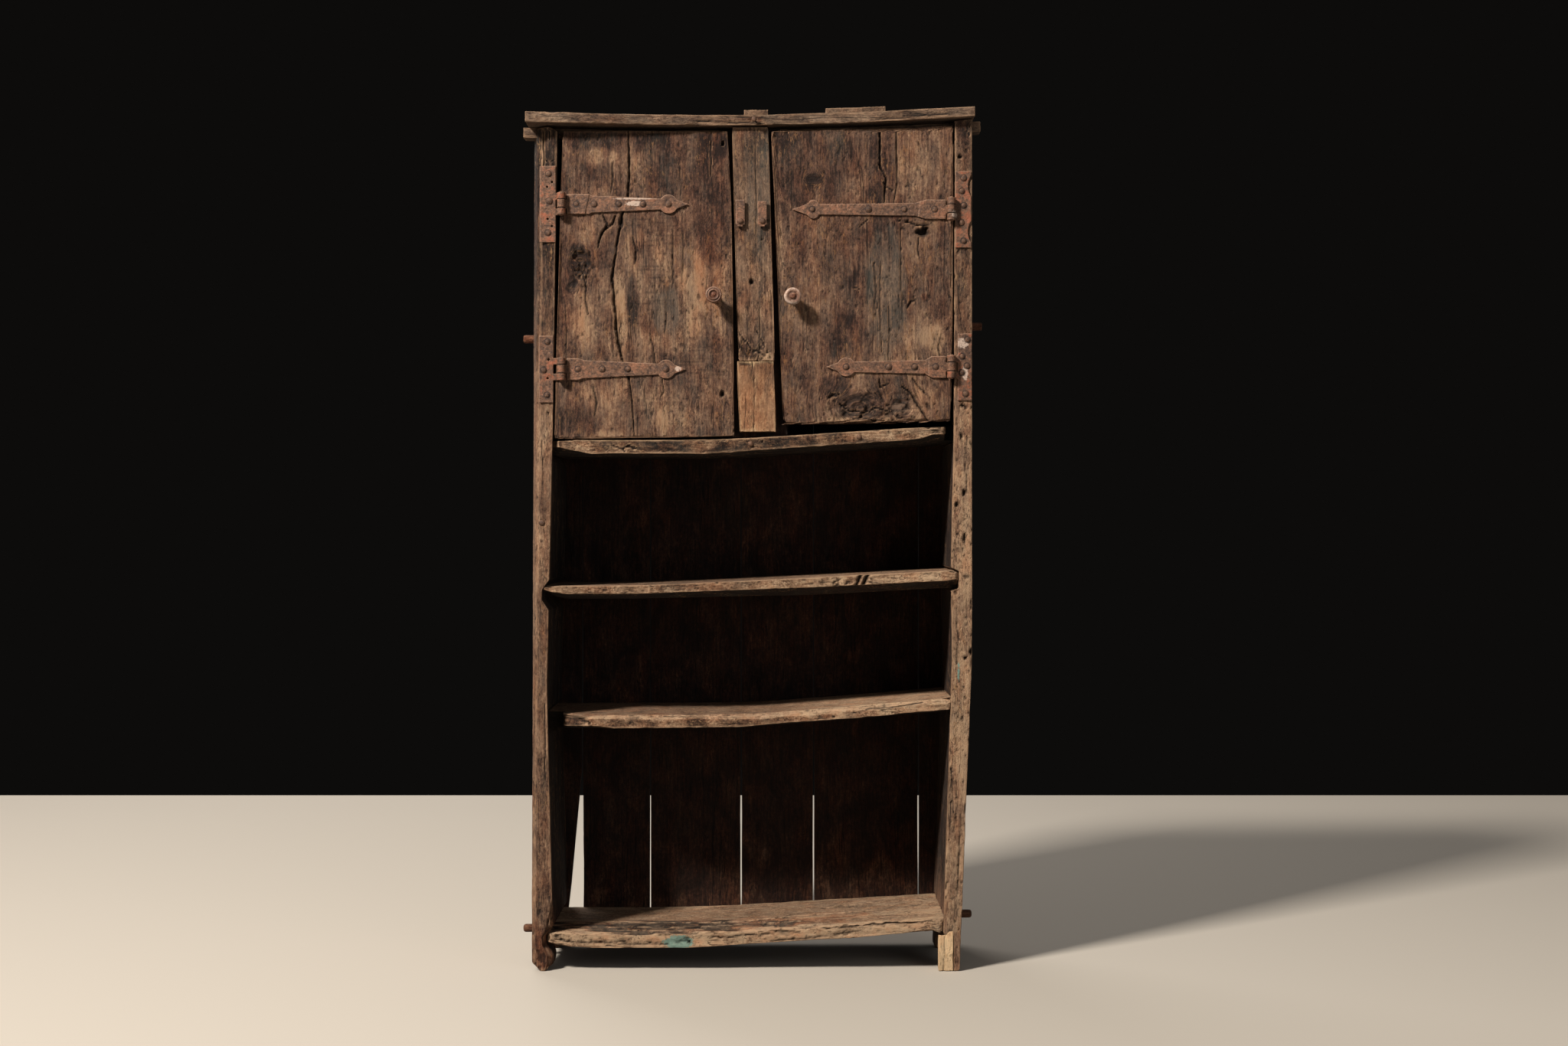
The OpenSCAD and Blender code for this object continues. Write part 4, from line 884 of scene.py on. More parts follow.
# The back oak is dark as stain, and darker still as painted shade for the faces inside the bays and behind
# the stile.
BACK_OAK_DARK_AND_SHADED = weathered_wood(
    "back_oak_dark",
    [(12, 8, 6), (26, 17, 12), (42, 27, 19), (66, 44, 31), (104, 76, 56)],
    (74, 51, 37), contrast=0.8, dust=0.1, wear=0.5, scuff=(58, 36, 25), scuffed=0.4)
REPAIR_OAK = weathered_wood(
    "repair_oak_pale",
    [(60, 38, 24), (122, 82, 56), (160, 115, 81), (194, 148, 108), (246, 206, 158)],
    (214, 174, 130), contrast=0.6, dust=0.1, pores=0.6, scuff=(204, 158, 110))
IRON = rusty_iron("rusty_iron_forged", bloom=0.35, scale=0.3)
PLATE_IRON = rusty_iron("rusty_iron_plates", bloom=0.85, scale=0.4)
NAIL_IRON = rusty_iron("rusty_iron_nails", bloom=0.05, scale=0.2, shade=0.74)


# Boards of the cabinet

def chamfered(box, size, first, second, width):
    """Cuts the edge between two faces of a box at 45 degrees. A face is (axis, True at its high end)."""
    gaps = [size[k] - box[:, k] if high else box[:, k] for k, high in (first, second)]
    inward = np.maximum(0, (width - gaps[0] - gaps[1]) / 2)
    for axis, high in (first, second):
        box[:, axis] += -inward if high else inward
    return box


def left_side_shape(box, size, low):
    """The left plank's waney outer edge, wider at the top, and its rotten, rounded foot."""
    height = box[:, Z] + low[Z]
    bark = np.interp(height, [0, 600, 1200, 1768], [9, 10, 12, 20])
    bark = bark * (0.75 + 0.5 * noise(box, (60, 60, 90), 12))
    box = chamfered(box, size, (X, False), (Y, False), bark)
    box = chamfered(box, size, (X, True), (Z, False), 12 * (0.8 + 0.4 * noise(box, 25, 14)))
    box = chamfered(box, size, (X, False), (Z, False), 16)
    rot = 13 * ease(-height, -165, -90) * (0.75 + 0.5 * rough_noise(box, 26, 13))
    return chamfered(box, size, (X, True), (Y, False), rot)


def painted_shade_inside(board, way):
    """Paints shade on the inner face of a plank behind its front edge, where the bays lie in shadow, and
    less of it near the floor. way is the side that faces the shelves.
    """
    inner = ease(way * board.normals[:, X], 0.3, 0.8) * ease(board.home[:, Y], -138, -112)
    board.marks["tone"] -= 2.4 * inner * ease(board.home[:, Z], 60, 260)
    board.marks["tone"] -= 1.2 * inner


# What age has done to each board, as rows for Board.age(), with places as (x, z) in mm on the front
# or (x, y) on the upper face. Cracks are (width, depth, path, share of the width at the tips, wobble),
# holes (place, radius, depth, raggedness), pits (depth, size, share, place, radius), knots (place,
# radius, depth, darkness) and scratches (place, radius, gap, slant). Tones, warmths and paints are
# stains: (amount, place, radius, raggedness, softness).
LEFT_SIDE_AGE = {
    "pits": [(1.3, (5, 5, 9), 0.25), (2.6, (9, 9, 14), 0.75, (-436, 70), (40, 100))],
    "holes": [((-426.6, 1694), (2.4, 2.6), 9), ((-414.4, 1695), (2.2, 2.6), 9),
              ((-423.2, 1167), (2.4, 3.4), 9)],
    "cracks": [(2.4, 5, [(-436, 1758), (-434, 1700), (-436, 1640)]),
               (1.8, 4, [(-421, 1766), (-420, 1722)]),
               (1.6, 3.5, [(-437, 1110), (-434, 1040), (-436, 985)]),
               (1.8, 4, [(-431, 560), (-429, 470), (-432, 400)])],
}
RIGHT_SIDE_AGE = {
    "pits": [(2.6, (6, 5, 11), 0.45)],
    "holes": [((438.4, 1703), (5.5, 4.5), 9), ((443, 1183), (4.2, 4), 9), ((449, 1178), (3.4, 3.4), 9),
              ((446, 1000), (3.0, 8), 9), ((447, 905), (3.4, 12), 9), ((449, 655), (4, 3.4), 9),
              ((464, 668), (8, 7), 9), ((440, 1118), (3, 7), 9), ((431, 975), (4, 6), 9)],
    "cracks": [(1.8, 4, [(452, 1120), (449, 1060), (452, 990)]),
               (2.0, 5, [(440, 330), (436, 250), (433, 180)]),
               (1.6, 4, [(430, 760), (433, 700), (431, 640)])],
    "paints": [(0.62, (435, 628), (4, 30))],
}
# How dark each plank is at heights up it, partly its own tone and partly painted falloff of light that
# darkens the upper part
LEFT_SIDE_TONES = [(0, -0.3), (200, 0.3), (900, 0.4), (1250, 0.0), (1500, -1.3), (1768, -2.2)]
RIGHT_SIDE_TONES = [(0, 1.3), (300, 1.7), (700, 1.6), (1100, 1.6), (1300, 0.0), (1768, -1.3)]


def at_heights(board, tones):
    """The tone of each point of a board, from a list of (height, tone)."""
    return np.interp(board.home[:, Z], *np.transpose(tones))


def left_side():
    """The left plank, from foot to top."""
    board = Board("left_side", X, Z, (3.2, 7, 3.4), 11, wear=2.4, chips=3.5, probe=3.2,
                  shape=left_side_shape, calm=Z)
    board.furrow(0.5, 6, 90)
    board.erode(1.3, (11, 11, 20), 2, 3)
    board.age(**LEFT_SIDE_AGE)
    board.marks["tone"] += at_heights(board, LEFT_SIDE_TONES)
    board.marks["warm"] += 0.9 * ease(-board.home[:, Z], -150, -40)
    painted_shade_inside(board, 1)
    board.make("left_plank", SIDE_OAK)


def right_side():
    """The right plank, which leans in towards its foot."""
    board = Board("right_side", X, Z, (3.2, 7, 3.4), 23, wear=2.4, chips=4.5, probe=3.2)
    board.furrow(0.7, 6, 90)
    board.erode(1.5, (11, 11, 20), 2, 3)
    board.age(**RIGHT_SIDE_AGE)
    board.marks["tone"] += at_heights(board, RIGHT_SIDE_TONES)
    painted_shade_inside(board, -1)
    board.make("right_plank", SIDE_OAK)


LEFT_DOOR_AGE = {
    "knots": [((-357, 1478), (20, 30), 6, 1.3), ((-372, 1432), (9, 14), 4, 1.0)],
    "pits": [(4.5, (7, 7, 10), 0.9, (-352, 1474), (30, 44)), (1.8, (5, 5, 11), 0.35)],
    "scratches": [((-104, 1272), (70, 46), 8, 0.03), ((-190, 1560), (60, 70), 9, -0.05),
                  ((-210, 1430), (50, 60), 8, 0.02)],
    "cracks": [
        (5.4, 10, [(-256, 1760), (-253, 1686), (-256, 1618), (-270, 1578), (-290, 1447), (-286, 1422),
                  (-282, 1361), (-277, 1316), (-267, 1273), (-254, 1236), (-248, 1194), (-243, 1110)]),
        (2.2, 5, [(-211, 1335), (-203, 1302), (-198, 1266), (-186, 1242), (-181, 1212), (-187, 1202)]),
        (4.0, 8, [(-309, 1580), (-299, 1561), (-312, 1538), (-320, 1512)]),
        (4.4, 9, [(-282, 1580), (-288, 1562), (-304, 1550), (-313, 1540)]),
        (5.0, 9, [(-270, 1580), (-268, 1560), (-276, 1545)]),
        (2.4, 6, [(-83, 1760), (-82, 1730), (-84, 1705), (-82, 1640)]),
        (2.4, 6, [(-289, 1690), (-288, 1660), (-292, 1625)]),
        (1.6, 4, [(-388, 1400), (-384, 1330), (-387, 1270)]),
        (1.6, 3, [(-150, 1700), (-146, 1640), (-149, 1590)]),
        (1.8, 4, [(-163, 1550), (-162, 1490), (-164, 1430)]),
        (1.8, 4, [(-142, 1548), (-141, 1500), (-143, 1440)]),
        (4.6, 6, [(-247, 1534), (-238, 1506), (-243, 1478)]),
        (3.0, 6, [(-352, 1462), (-344, 1430), (-346, 1400), (-340, 1372)]),
        (2.6, 6, [(-330, 1220), (-322, 1190), (-326, 1160)]),
        (2.0, 5, [(-178, 1400), (-176, 1360), (-180, 1335)]),
    ],
    "holes": [((-58, 1730), (4, 5), 10), ((-59, 1206), (5, 7), 9)],
    "tones": [(0.8, (-230, 1172), (165, 58), 1.3), (1.2, (-196, 1512), (13, 34), 0.3, 0.25),
              (1.5, (-322, 1704), (36, 17)), (1.0, (-262, 1698), (26, 38), 1.3),
              (1.3, (-276, 1392), (13, 76), 0.7, 0.3), (-1.5, (-246, 1402), (12, 62), 0.6, 0.3),
              (1.3, (-350, 1540), (26, 24)), (1.2, (-346, 1360), (22, 70), 1.2),
              (1.2, (-182, 1150), (14, 34), 1.3), (1.3, (-96, 1420), (50, 70), 1.6),
              (-0.9, (-182, 1660), (40, 46), 1.4), (-0.5, (-84, 1640), (34, 130)),
              (-1.1, (-362, 1150), (52, 34)), (1.0, (-315, 1122), (9, 8)), (-0.7, (-150, 1740), (260, 30)),
              (0.6, (-300, 1330), (46, 120)), (-0.6, (-380, 1480), (34, 100)),
              (0.5, (-160, 1400), (90, 120))],
    "warmths": [(-0.8, (-176, 1378), (26, 52)), (0.45, (-84, 1560), (34, 240)),
                (0.35, (-375, 1380), (30, 90))],
}
RIGHT_DOOR_AGE = {
    "knots": [((230, 1180), (42, 26), 7, 1.2), ((320, 1176), (26, 20), 6, 0.9),
              ((130, 1655), (14, 10), 3, 0.9)],
    "pits": [(2.2, (5, 5, 10), 0.4), (3.4, (11, 11, 8), 0.55, (262, 1176), (130, 34)),
             (3.0, (7, 7, 10), 0.8, (56, 1690), (14, 70)), (2.6, (7, 7, 12), 0.6, (54, 1480), (12, 180)),
             (2.4, (7, 7, 10), 0.6, (330, 1560), (60, 16))],
    "cracks": [
        (4.8, 10, [(270, 1768), (270, 1686), (282, 1658), (281, 1640), (280, 1609)]),
        (3.6, 6, [(276, 1650), (284, 1640), (298, 1632)]),
        (3.0, 6, [(304, 1768), (306, 1642), (299, 1607)]),
        (3.8, 8, [(307, 1570), (330, 1566), (352, 1560), (374, 1562)]),
        (5.0, 6, [(326, 1386), (336, 1400), (345, 1404)]),
        (3.4, 4, [(211, 1431), (221, 1428), (230, 1424)]),
        (2.0, 4, [(258, 1480), (262, 1420), (258, 1380)]),
        (2.2, 5, [(398, 1330), (392, 1306), (396, 1284)]),
        (5.0, 7, [(160, 1196), (172, 1204), (186, 1206)]),
        (2.2, 5, [(351, 1534), (350, 1512), (353, 1490)]),
        (2.4, 5, [(245, 1572), (236, 1562), (227, 1554)]),
        (1.6, 4, [(272, 1486), (270, 1400), (273, 1294)]),
        (1.8, 4, [(288, 1390), (290, 1330), (287, 1276)]),
        (1.6, 4, [(315, 1606), (313, 1500), (317, 1361)]),
        (5.0, 9, [(316, 1222), (334, 1208), (352, 1180), (371, 1149)]),
        (3.0, 6, [(338, 1240), (356, 1216), (370, 1204)]),
        (4.0, 7, [(268, 1240), (272, 1222), (290, 1228)]),
        (3.0, 8, [(182, 1190), (206, 1172), (236, 1168), (262, 1178), (290, 1170)]),
        (3.0, 7, [(205, 1152), (232, 1158), (258, 1150), (282, 1158)]),
    ],
    "holes": [((357, 1545), (12, 9), 14, 1.0), ((365, 1552), (6, 5), 12, 0.9), ((60, 1544), (4, 8), 7, 0.8)],
    "tones": [(0.6, (245, 1190), (120, 46), 1.3), (1.3, (356, 1688), (52, 80)),
              (1.0, (58, 1480), (10, 240), 1.6),
              (1.4, (384, 1322), (28, 30), 1.2), (1.0, (300, 1262), (90, 20), 1.4),
              (0.9, (150, 1390), (60, 60), 1.6), (1.2, (250, 1150), (110, 9), 1.3),
              (1.0, (366, 1190), (34, 36), 1.3), (-1.2, (178, 1220), (32, 22)),
              (-1.0, (296, 1214), (34, 24)), (-0.9, (264, 1650), (22, 110)), (-0.7, (120, 1680), (80, 90)),
              (-1.0, (58, 1712), (18, 54)), (0.7, (340, 1300), (60, 70)), (-0.8, (190, 1400), (50, 120))],
    "warmths": [(-0.9, (284, 1424), (38, 130)), (0.8, (362, 1409), (8, 8)), (0.3, (200, 1560), (120, 60))],
}


def left_door():
    """The left door: one wide board split from top to bottom beside a knot."""
    board = Board("left_door", Y, Z, (2.4, 8, 3.4), 37, wear=2.4, chips=4)
    board.furrow(0.7, 6, 90)
    board.erode(1.5, (9, 9, 14), 2, 3)
    board.age(**LEFT_DOOR_AGE)
    # Darker towards the top: painted falloff of light.
    board.marks["tone"] -= 0.30 * ease(board.home[:, Z], 1500, 1760)
    board.make("left_door_plank", DOOR_OAK)


def right_door_shape(box, size, low):
    """The right door's crumbled lower edge, hewn away below, and its rounded lower left corner."""
    crumbled = 4.5 * rough_noise(box, (13, 20, 20), 31) * ease(box[:, X], 10, 60)
    box[:, Z] += crumbled * np.clip(1 - box[:, Z] / 40, 0, 1)
    box = chamfered(box, size, (Y, False), (Z, False), 1 + 10 * noise(box, (16, 20, 20), 32))
    return chamfered(box, size, (X, False), (Z, False), 18)


def right_door():
    """The right door, with a gnarled knot along its rough lower edge."""
    board = Board("right_door", Y, Z, (2.4, 8, 3.4), 53, wear=2.6, chips=5, shape=right_door_shape)
    board.furrow(0.7, 6, 90)
    board.erode(1.6, (9, 9, 14), 2, 3)
    board.age(**RIGHT_DOOR_AGE)
    gnarl = 1 - ease(np.hypot((board.home[:, X] - 262) / 120, (board.home[:, Z] - 1180) / 44), 0.5, 1.1)
    board.sink(5.0 * gnarl * ease(rough_noise(board.home, (20, 20, 12), 5), 0.4, 0.7))
    # Darker towards the top: painted falloff of light.
    board.marks["tone"] -= 0.25 * ease(board.home[:, Z], 1500, 1760)
    board.make("right_door_plank", DOOR_OAK)


STILE_AGE = {
    "pits": [(3.2, (7, 7, 9), 0.75, (4, 1302), (44, 34))],
    "cracks": [(1.6, 3, [(8, 1766), (12, 1600), (10, 1480)]), (1.8, 4, [(18, 1400), (20, 1330), (14, 1276)]),
               (2.6, 5, [(-26, 1334), (-10, 1318), (2, 1300), (24, 1291), (46, 1296)]),
               (2.2, 4, [(8, 1346), (22, 1320), (30, 1304)])],
    "holes": [((2.4, 1441), (5.5, 5.5), 9, 0.15), ((24, 1530), (2.5, 2.5), 5)],
    "tones": [(-1.4, (-6, 1296), (34, 24), 1.2), (1.6, (34, 1284), (22, 14), 1.0)],
    "warmths": [(-0.7, (20, 1640), (30, 140))],
}
# How dark the stile is at heights up it, darker towards the top: partly the stile's own tone, partly painted
# falloff of light.
STILE_TONES = [(1275, 0.5), (1450, 0.3), (1600, -0.4), (1765, -0.5)]
STILE_REPAIR_AGE = {
    "cracks": [(1.4, 3, [(4, 1278), (8, 1210), (6, 1120)])],
    "tones": [(-2.6, (0, 1278), (60, 8), 1.4)],
}


def stiles():
    """The centre stile, the pale piece let in below it and the post behind."""
    board = Board("centre_stile", Y, Z, (2.5, 8, 4), 61, wear=2.0, chips=2.5)
    board.furrow(0.6)
    board.erode(0.6, (14, 14, 70), 2)
    board.age(**STILE_AGE)
    board.marks["tone"] += at_heights(board, STILE_TONES)
    board.make("stile_plank", SIDE_OAK)
    lower = Board("stile_repair", Y, Z, (2.5, 8, 4), 67, wear=1.8, chips=4)
    lower.furrow(0.5)
    lower.erode(0.8, (12, 12, 30), 2, 3)
    lower.age(**STILE_REPAIR_AGE)
    lower.marks["tone"] -= 1.3 * ease(lower.home[:, Z] + 0.5 * lower.home[:, X], 1240, 1278)
    lower.make("stile_repair_plank", REPAIR_OAK)
    post = Board("stile_backing", Y, Z, (5, 8, 8), 71, wear=2)
    post.furrow(0.6)
    post.make("stile_post", BACK_OAK_DARK_AND_SHADED)


# Shelves as (node, name of the piece, seed, tone, wear, chips, depth of furrows)
SHELVES = [
    ("cupboard_floor", "cupboard_floor_board", 73, -0.8, 1.1, 3, 0.8),
    ("cupboard_shelf", "cupboard_shelf_board", 79, -0.2, 2.4, 4, 0.8),
    ("upper_shelf", "upper_shelf_board", 83, 0.55, 1.1, 3, 0.8),
    ("lower_shelf", "lower_shelf_board", 89, -0.1, 1.2, 3, 0.9),
    ("bottom_shelf", "bottom_shelf_board", 97, 2.3, 2.2, 5, 1.3),
]
# Each shelf's hewn edges, as (x, mm) along it: how far its underside is lifted, its lower front
# line raised and its upper one lowered; then how much is worn off its upper edge and its corners
SHELF_EDGES = {
    "cupboard_floor": {
        "lifted": [(-430, 5), (-410, 0)],
        "raised": [(-428, 14), (-411, 9), (-380, 2), (-349, -4.5), (0, -4), (350, -3), (385, 0), (409, 10)],
        "lowered": [(-415, 3), (-385, 0), (380, 0), (408, 3)], "brow": 2, "corners": (6, 3)},
    "upper_shelf": {
        "lifted": [(-437, 24), (-415, 14), (-390, 9), (-150, 8), (50, 2), (120, 0)],
        "raised": [(-437, 3), (-381, 0), (410, 0), (431, 5)],
        "lowered": [(-437, 9), (-415, 4), (-385, 0), (410, 0), (431, 6)], "brow": 3, "corners": (5, 6)},
    "lower_shelf": {
        "lifted": [(-400, 0), (400, 0)],
        "raised": [(-394, 2), (-357, -3.5), (-224, -3.5), (-91, 0), (69, 0), (229, -3), (416, 0)],
        "lowered": [(-394, 5), (-355, 0)], "brow": 13, "corners": (4, 6)},
    "bottom_shelf": {
        "lifted": [(-425, 4), (-405, 0)],
        "raised": [(-425, 12), (-411, 9), (-380, 3), (-331, 0), (229, 0), (330, 4), (405, 8)],
        "lowered": [(-425, 5), (-405, 2), (-380, 0)], "brow": 5, "corners": (14, 5)},
}


def shelf_shape(name_of_node):
    """A maker of one shelf's hewn front edge and worn corners."""
    if name_of_node not in SHELF_EDGES:
        return None
    edges = SHELF_EDGES[name_of_node]

    def shape(box, size, low):
        place = box[:, X] + low[X]
        near = np.clip(1 - box[:, Y] / 34, 0, 1)
        share = box[:, Z] / size[Z]
        lifted, raised, lowered = (np.interp(place, *np.transpose(edges[way]))
                                   for way in ("lifted", "raised", "lowered"))
        raised = raised * (0.8 + 0.4 * noise(box, (30, 30, 30), 15))
        box[:, Z] += lifted * (1 - share) + near * (raised * (1 - share) - lowered * share)
        ragged = 0.8 + 0.4 * rough_noise(box, (12, 12, 9), 16)
        left, right = edges["corners"]
        brow = edges["brow"] * (0.5 + rough_noise(box, (70, 40, 40), 17))
        box = chamfered(box, size, (Y, False), (Z, True), brow)
        box = chamfered(box, size, (X, False), (Y, False), left * ragged)
        return chamfered(box, size, (X, True), (Y, False), right * ragged)

    return shape


# Where a shelf's front part stops short of a plank: the place, its side, how far back and its slant
SHELF_STOPS = {"cupboard_floor": (408, 1, 60, 0), "lower_shelf": (-395, -1, 80, 24)}

FLOOR_AGE = {
    "pits": [(3, (12, 6, 5), 0.8, (330, 1132), (90, 9))],
    "cracks": [(3.6, 7, [(-290, 1100), (-270, 1092), (-255, 1098), (-236, 1092)]),
               (3.0, 6, [(-268, 1092), (-262, 1084)])],
    "holes": [((24.5, 1108), (3.6, 3.2), 7, 0.5)],
    "tones": [(1.6, (310, 1125), (110, 16)), (0.8, (-330, 1092), (50, 14)), (-0.4, (-120, 1095), (100, 22))],
}
UPPER_SHELF_AGE = {
    "pits": [(3.4, (8, 7, 7), 0.95, (184, 812), (34, 11))],
    "cracks": [(7.5, 12, [(231, 831), (218, 798)], 1.0, 0.6), (7.5, 12, [(246, 831), (231, 798)], 1.0, 0.6)],
    "holes": [((-70, 812), (3, 2.4), 5)],
}
LOWER_SHELF_AGE = {
    "pits": [(7, (10, 10, 8), 0.95, (-374, 522), (24, 24))],
    "cracks": [(3, 6, [(-352, 528), (-338, 520), (-330, 508)]), (2, 4, [(240, 548), (300, 553), (360, 562)]),
               (5, 8, [(-352, 536), (-346, 522), (-350, 508)])],
    "holes": [((174, 532), (3, 3), 6)],
    "tones": [(-1.6, (-374, 522), (24, 22))],
}
BOTTOM_SHELF_FRONT_AGE = {
    "pits": [(1.8, (22, 8, 7), 0.35, (0, 75), (440, 40)), (3.0, (9, 8, 8), 0.6, (-400, 62), (30, 18))],
    "cracks": [(2.6, 5, [(-412, 66), (-340, 60), (-250, 64)], 0.35, 5),
               (2.2, 5, [(-300, 54), (-220, 58), (-170, 56)], 0.35, 5),
               (2.6, 5, [(-90, 70), (0, 76), (100, 84)], 0.35, 5),
               (2.2, 4, [(40, 64), (120, 70), (200, 80)], 0.35, 5),
               (2.6, 5, [(160, 90), (260, 98), (380, 106)], 0.35, 5)],
    "holes": [((-128, 61), (4, 4), 6)],
    "paints": [(0.72, (-149, 62), (38, 18), 0.9, 0.8), (0.3, (80, 76), (30, 6), 1.2)],
}
BOTTOM_SHELF_TOP_AGE = {
    "face": UP,
    "pits": [(5, (40, 8, 8), 0.95, (-120, -95), (330, 60))],
    "cracks": [(8, 12, [(-420, -120), (-300, -108), (-160, -122), (-40, -104), (60, -112)], 0.35, 6),
               (8, 12, [(-400, -84), (-250, -74), (-120, -88), (20, -70), (150, -84)], 0.35, 6),
               (11, 16, [(-110, -30), (-60, -42), (0, -34), (60, -22), (120, -14), (260, -2)], 0.35, 6),
               (8, 12, [(150, 58), (178, 62), (206, 80), (262, 100)], 0.35, 6),
               (4, 7, [(120, -100), (240, -88), (330, -96), (412, -84)], 0.35, 6),
               (5, 9, [(-300, -30), (-200, -24), (-100, -34)], 0.35, 6)],
    "holes": [((222, 66), (36, 16), 18, 0.9)],
    # The first tone, dark over the front left of the upper face, is partly a dark stain and partly painted
    # shadow.
    "tones": [(-5.2, (-190, -74), (230, 56), 1.4), (-1.6, (150, -90), (240, 34), 1.6),
              (-1.6, (-20, 60), (460, 110))],
    "warmths": [(1.0, (-120, -70), (330, 60))],
}
SHELF_AGES = {"cupboard_floor": [FLOOR_AGE], "upper_shelf": [UPPER_SHELF_AGE],
              "lower_shelf": [LOWER_SHELF_AGE],
              "bottom_shelf": [BOTTOM_SHELF_FRONT_AGE, BOTTOM_SHELF_TOP_AGE]}


def shelves():
    """The five boards between the planks."""
    for name_of_node, name, seed, tone, wear, chips, furrows in SHELVES:
        board = Board(name_of_node, Z, X, (3.6, 5, 3.4), seed, wear=wear, chips=chips, probe=9,
                      shape=shelf_shape(name_of_node), calm=X, crumbly=2.0)
        if name_of_node in SHELF_STOPS:
            board.stop_short(*SHELF_STOPS[name_of_node])
        board.furrow(furrows, 6, 110)
        board.erode(1.1, (14, 9, 9), 2, 3)
        board.pits(1.6, (9, 6, 5), 0.35)
        # Faces that look down are darkened: painted shade under each shelf.
        board.marks["tone"] += tone - 3.6 * ease(board.facing((0, 0, -1)), 0.6, 0.95)
        for age in SHELF_AGES.get(name_of_node, ()):
            board.age(**age)
        place = board.home[:, X]
        if name_of_node == "upper_shelf":
            board.marks["tone"] += 0.9 * ease(place, -60, 200)
            # Its upper face is darker further back: painted shade under the shelf above.
            board.marks["tone"] -= board.facing(UP) * ease(board.home[:, Y], -138, -90)
        if name_of_node == "lower_shelf":
            brow = ease(board.facing((0, -0.7, 0.7)), 0.80, 0.95)
            board.marks["tone"] += 1.5 * ease(place, -40, 240) + 1.2 * brow
            board.marks["warm"] += 0.15
        board.make(name, SHELF_OAK)


def top_front_shape(box, size, low):
    """The top's front edge, which stands further out at its left end than in the middle."""
    place = box[:, X] + low[X]
    shift = np.interp(place, [-468, -380, -60, 200, 468], [-9, -9, 10, 9, 2])
    box[:, Y] += shift * np.clip(1 - box[:, Y] / size[Y], 0, 1) ** 2
    return box


TOP_FRONT_AGE = {
    "cracks": [(2, 5, [(-120, 1776), (-40, 1771), (30, 1770)]),
               (1.8, 4, [(250, 1776), (350, 1784), (440, 1792)])],
    "holes": [((9, 1777), (4, 4), 4)],
    "tones": [(0.7, (180, 1780), (80, 14))],
    "warmths": [(1.0, (9, 1777), (12, 8))],
}


def top_boards():
    """The two boards of the top, the batten under their joint and the patches over it."""
    front = Board("top_front_board", Z, X, (4.5, 5, 4), 101, wear=2.6, chips=5, probe=9,
                  shape=top_front_shape)
    front.furrow(0.9, 5, 150)
    front.erode(1.2, (50, 12, 12), 2)
    front.age(**TOP_FRONT_AGE)
    front.make("top_front_plank", TOP_OAK)
    rear = Board("top_rear_board", Z, X, (7, 7, 5), 103, wear=2.6, chips=4, probe=9)
    rear.furrow(1.0, 6, 150)
    rear.make("top_rear_plank", TOP_OAK)
    batten = Board("top_batten", Z, X, (7, 5, 5), 107, wear=2.0, chips=3, probe=9)
    batten.furrow(0.8)
    batten.make("top_batten_bar", TOP_OAK)
    for name_of_node, seed in (("top_patch_narrow", 109), ("top_patch_wide", 113)):
        patch = Board(name_of_node, Z, Y, (4, 4, 3), seed, wear=1.4, chips=2, probe=6)
        patch.furrow(0.6, 4, 60)
        patch.make(name_of_node + "_board", TOP_OAK)


def back_shape(box, size, low):
    """A back board's sides, which have shrunk less in its upper part."""
    swelling = 0.6 + 0.7 * ease(box[:, Z] + low[Z], 330, 460)
    box[:, X] += swelling * (2 * box[:, X] / size[X] - 1)
    return box


# How much lighter or darker each back board is outside
BACK_TONES = (0.4, -0.7, 0.3, -0.2, 0.9, -0.5)


def back_boards():
    """The six upright boards behind."""
    for k in range(1, 7):
        board = Board(f"back_board_{k}", Y, Z, (6, 7, 9), 120 + 7 * k, wear=1.2, chips=2.5,
                      shape=back_shape)
        board.furrow(0.9, 6, 160)
        # Lighter towards the bottom: painted light where the lamp reaches the back of the lowest bay.
        board.marks["tone"] += 0.8 * ease(-board.home[:, Z], -260, -60)
        # Outer faces are lifted out of the painted shade of the dark back oak, each board by its own amount.
        board.marks["tone"] += (3.2 + BACK_TONES[k - 1]) * ease(board.facing((0, 1, 0)), 0.3, 0.8)
        board.marks["warm"] += 0.5
        board.make(f"back_plank_{k}", BACK_OAK_DARK_AND_SHADED)


def foot_repair():
    """The pale piece let into the right foot."""
    board = Board("right_foot_repair", Y, Z, (2, 4, 2.5), 181, wear=2.0, chips=4)
    board.furrow(0.8, 4, 60)
    board.crack(0.8, 1.4, [(404, 90), (405, 50), (403, 0)], wobble=1)
    board.marks["tone"] += 2.8
    board.make("foot_repair_piece", REPAIR_OAK)


left_side()
right_side()
left_door()
right_door()
stiles()
shelves()
top_boards()
back_boards()
foot_repair()


# Ironwork, knobs, pegs and nails

def evaluated_mesh(piece):
    """The mesh that an object's modifiers give."""
    graph = bpy.context.evaluated_depsgraph_get()
    return bpy.data.meshes.new_from_object(piece.evaluated_get(graph))


def mesh_arrays(mesh, sides):
    """A mesh's points in mm and its faces, which all have the same number of sides."""
    points = np.empty(len(mesh.vertices) * 3, np.float32)
    mesh.vertices.foreach_get("co", points)
    corners = np.empty(len(mesh.loops), np.int32)
    mesh.loops.foreach_get("vertex_index", corners)
    return points.reshape(-1, 3).astype(float) / MM, corners.reshape(-1, sides)


IRON_GRID = 0.8     # mm between the points of forged iron


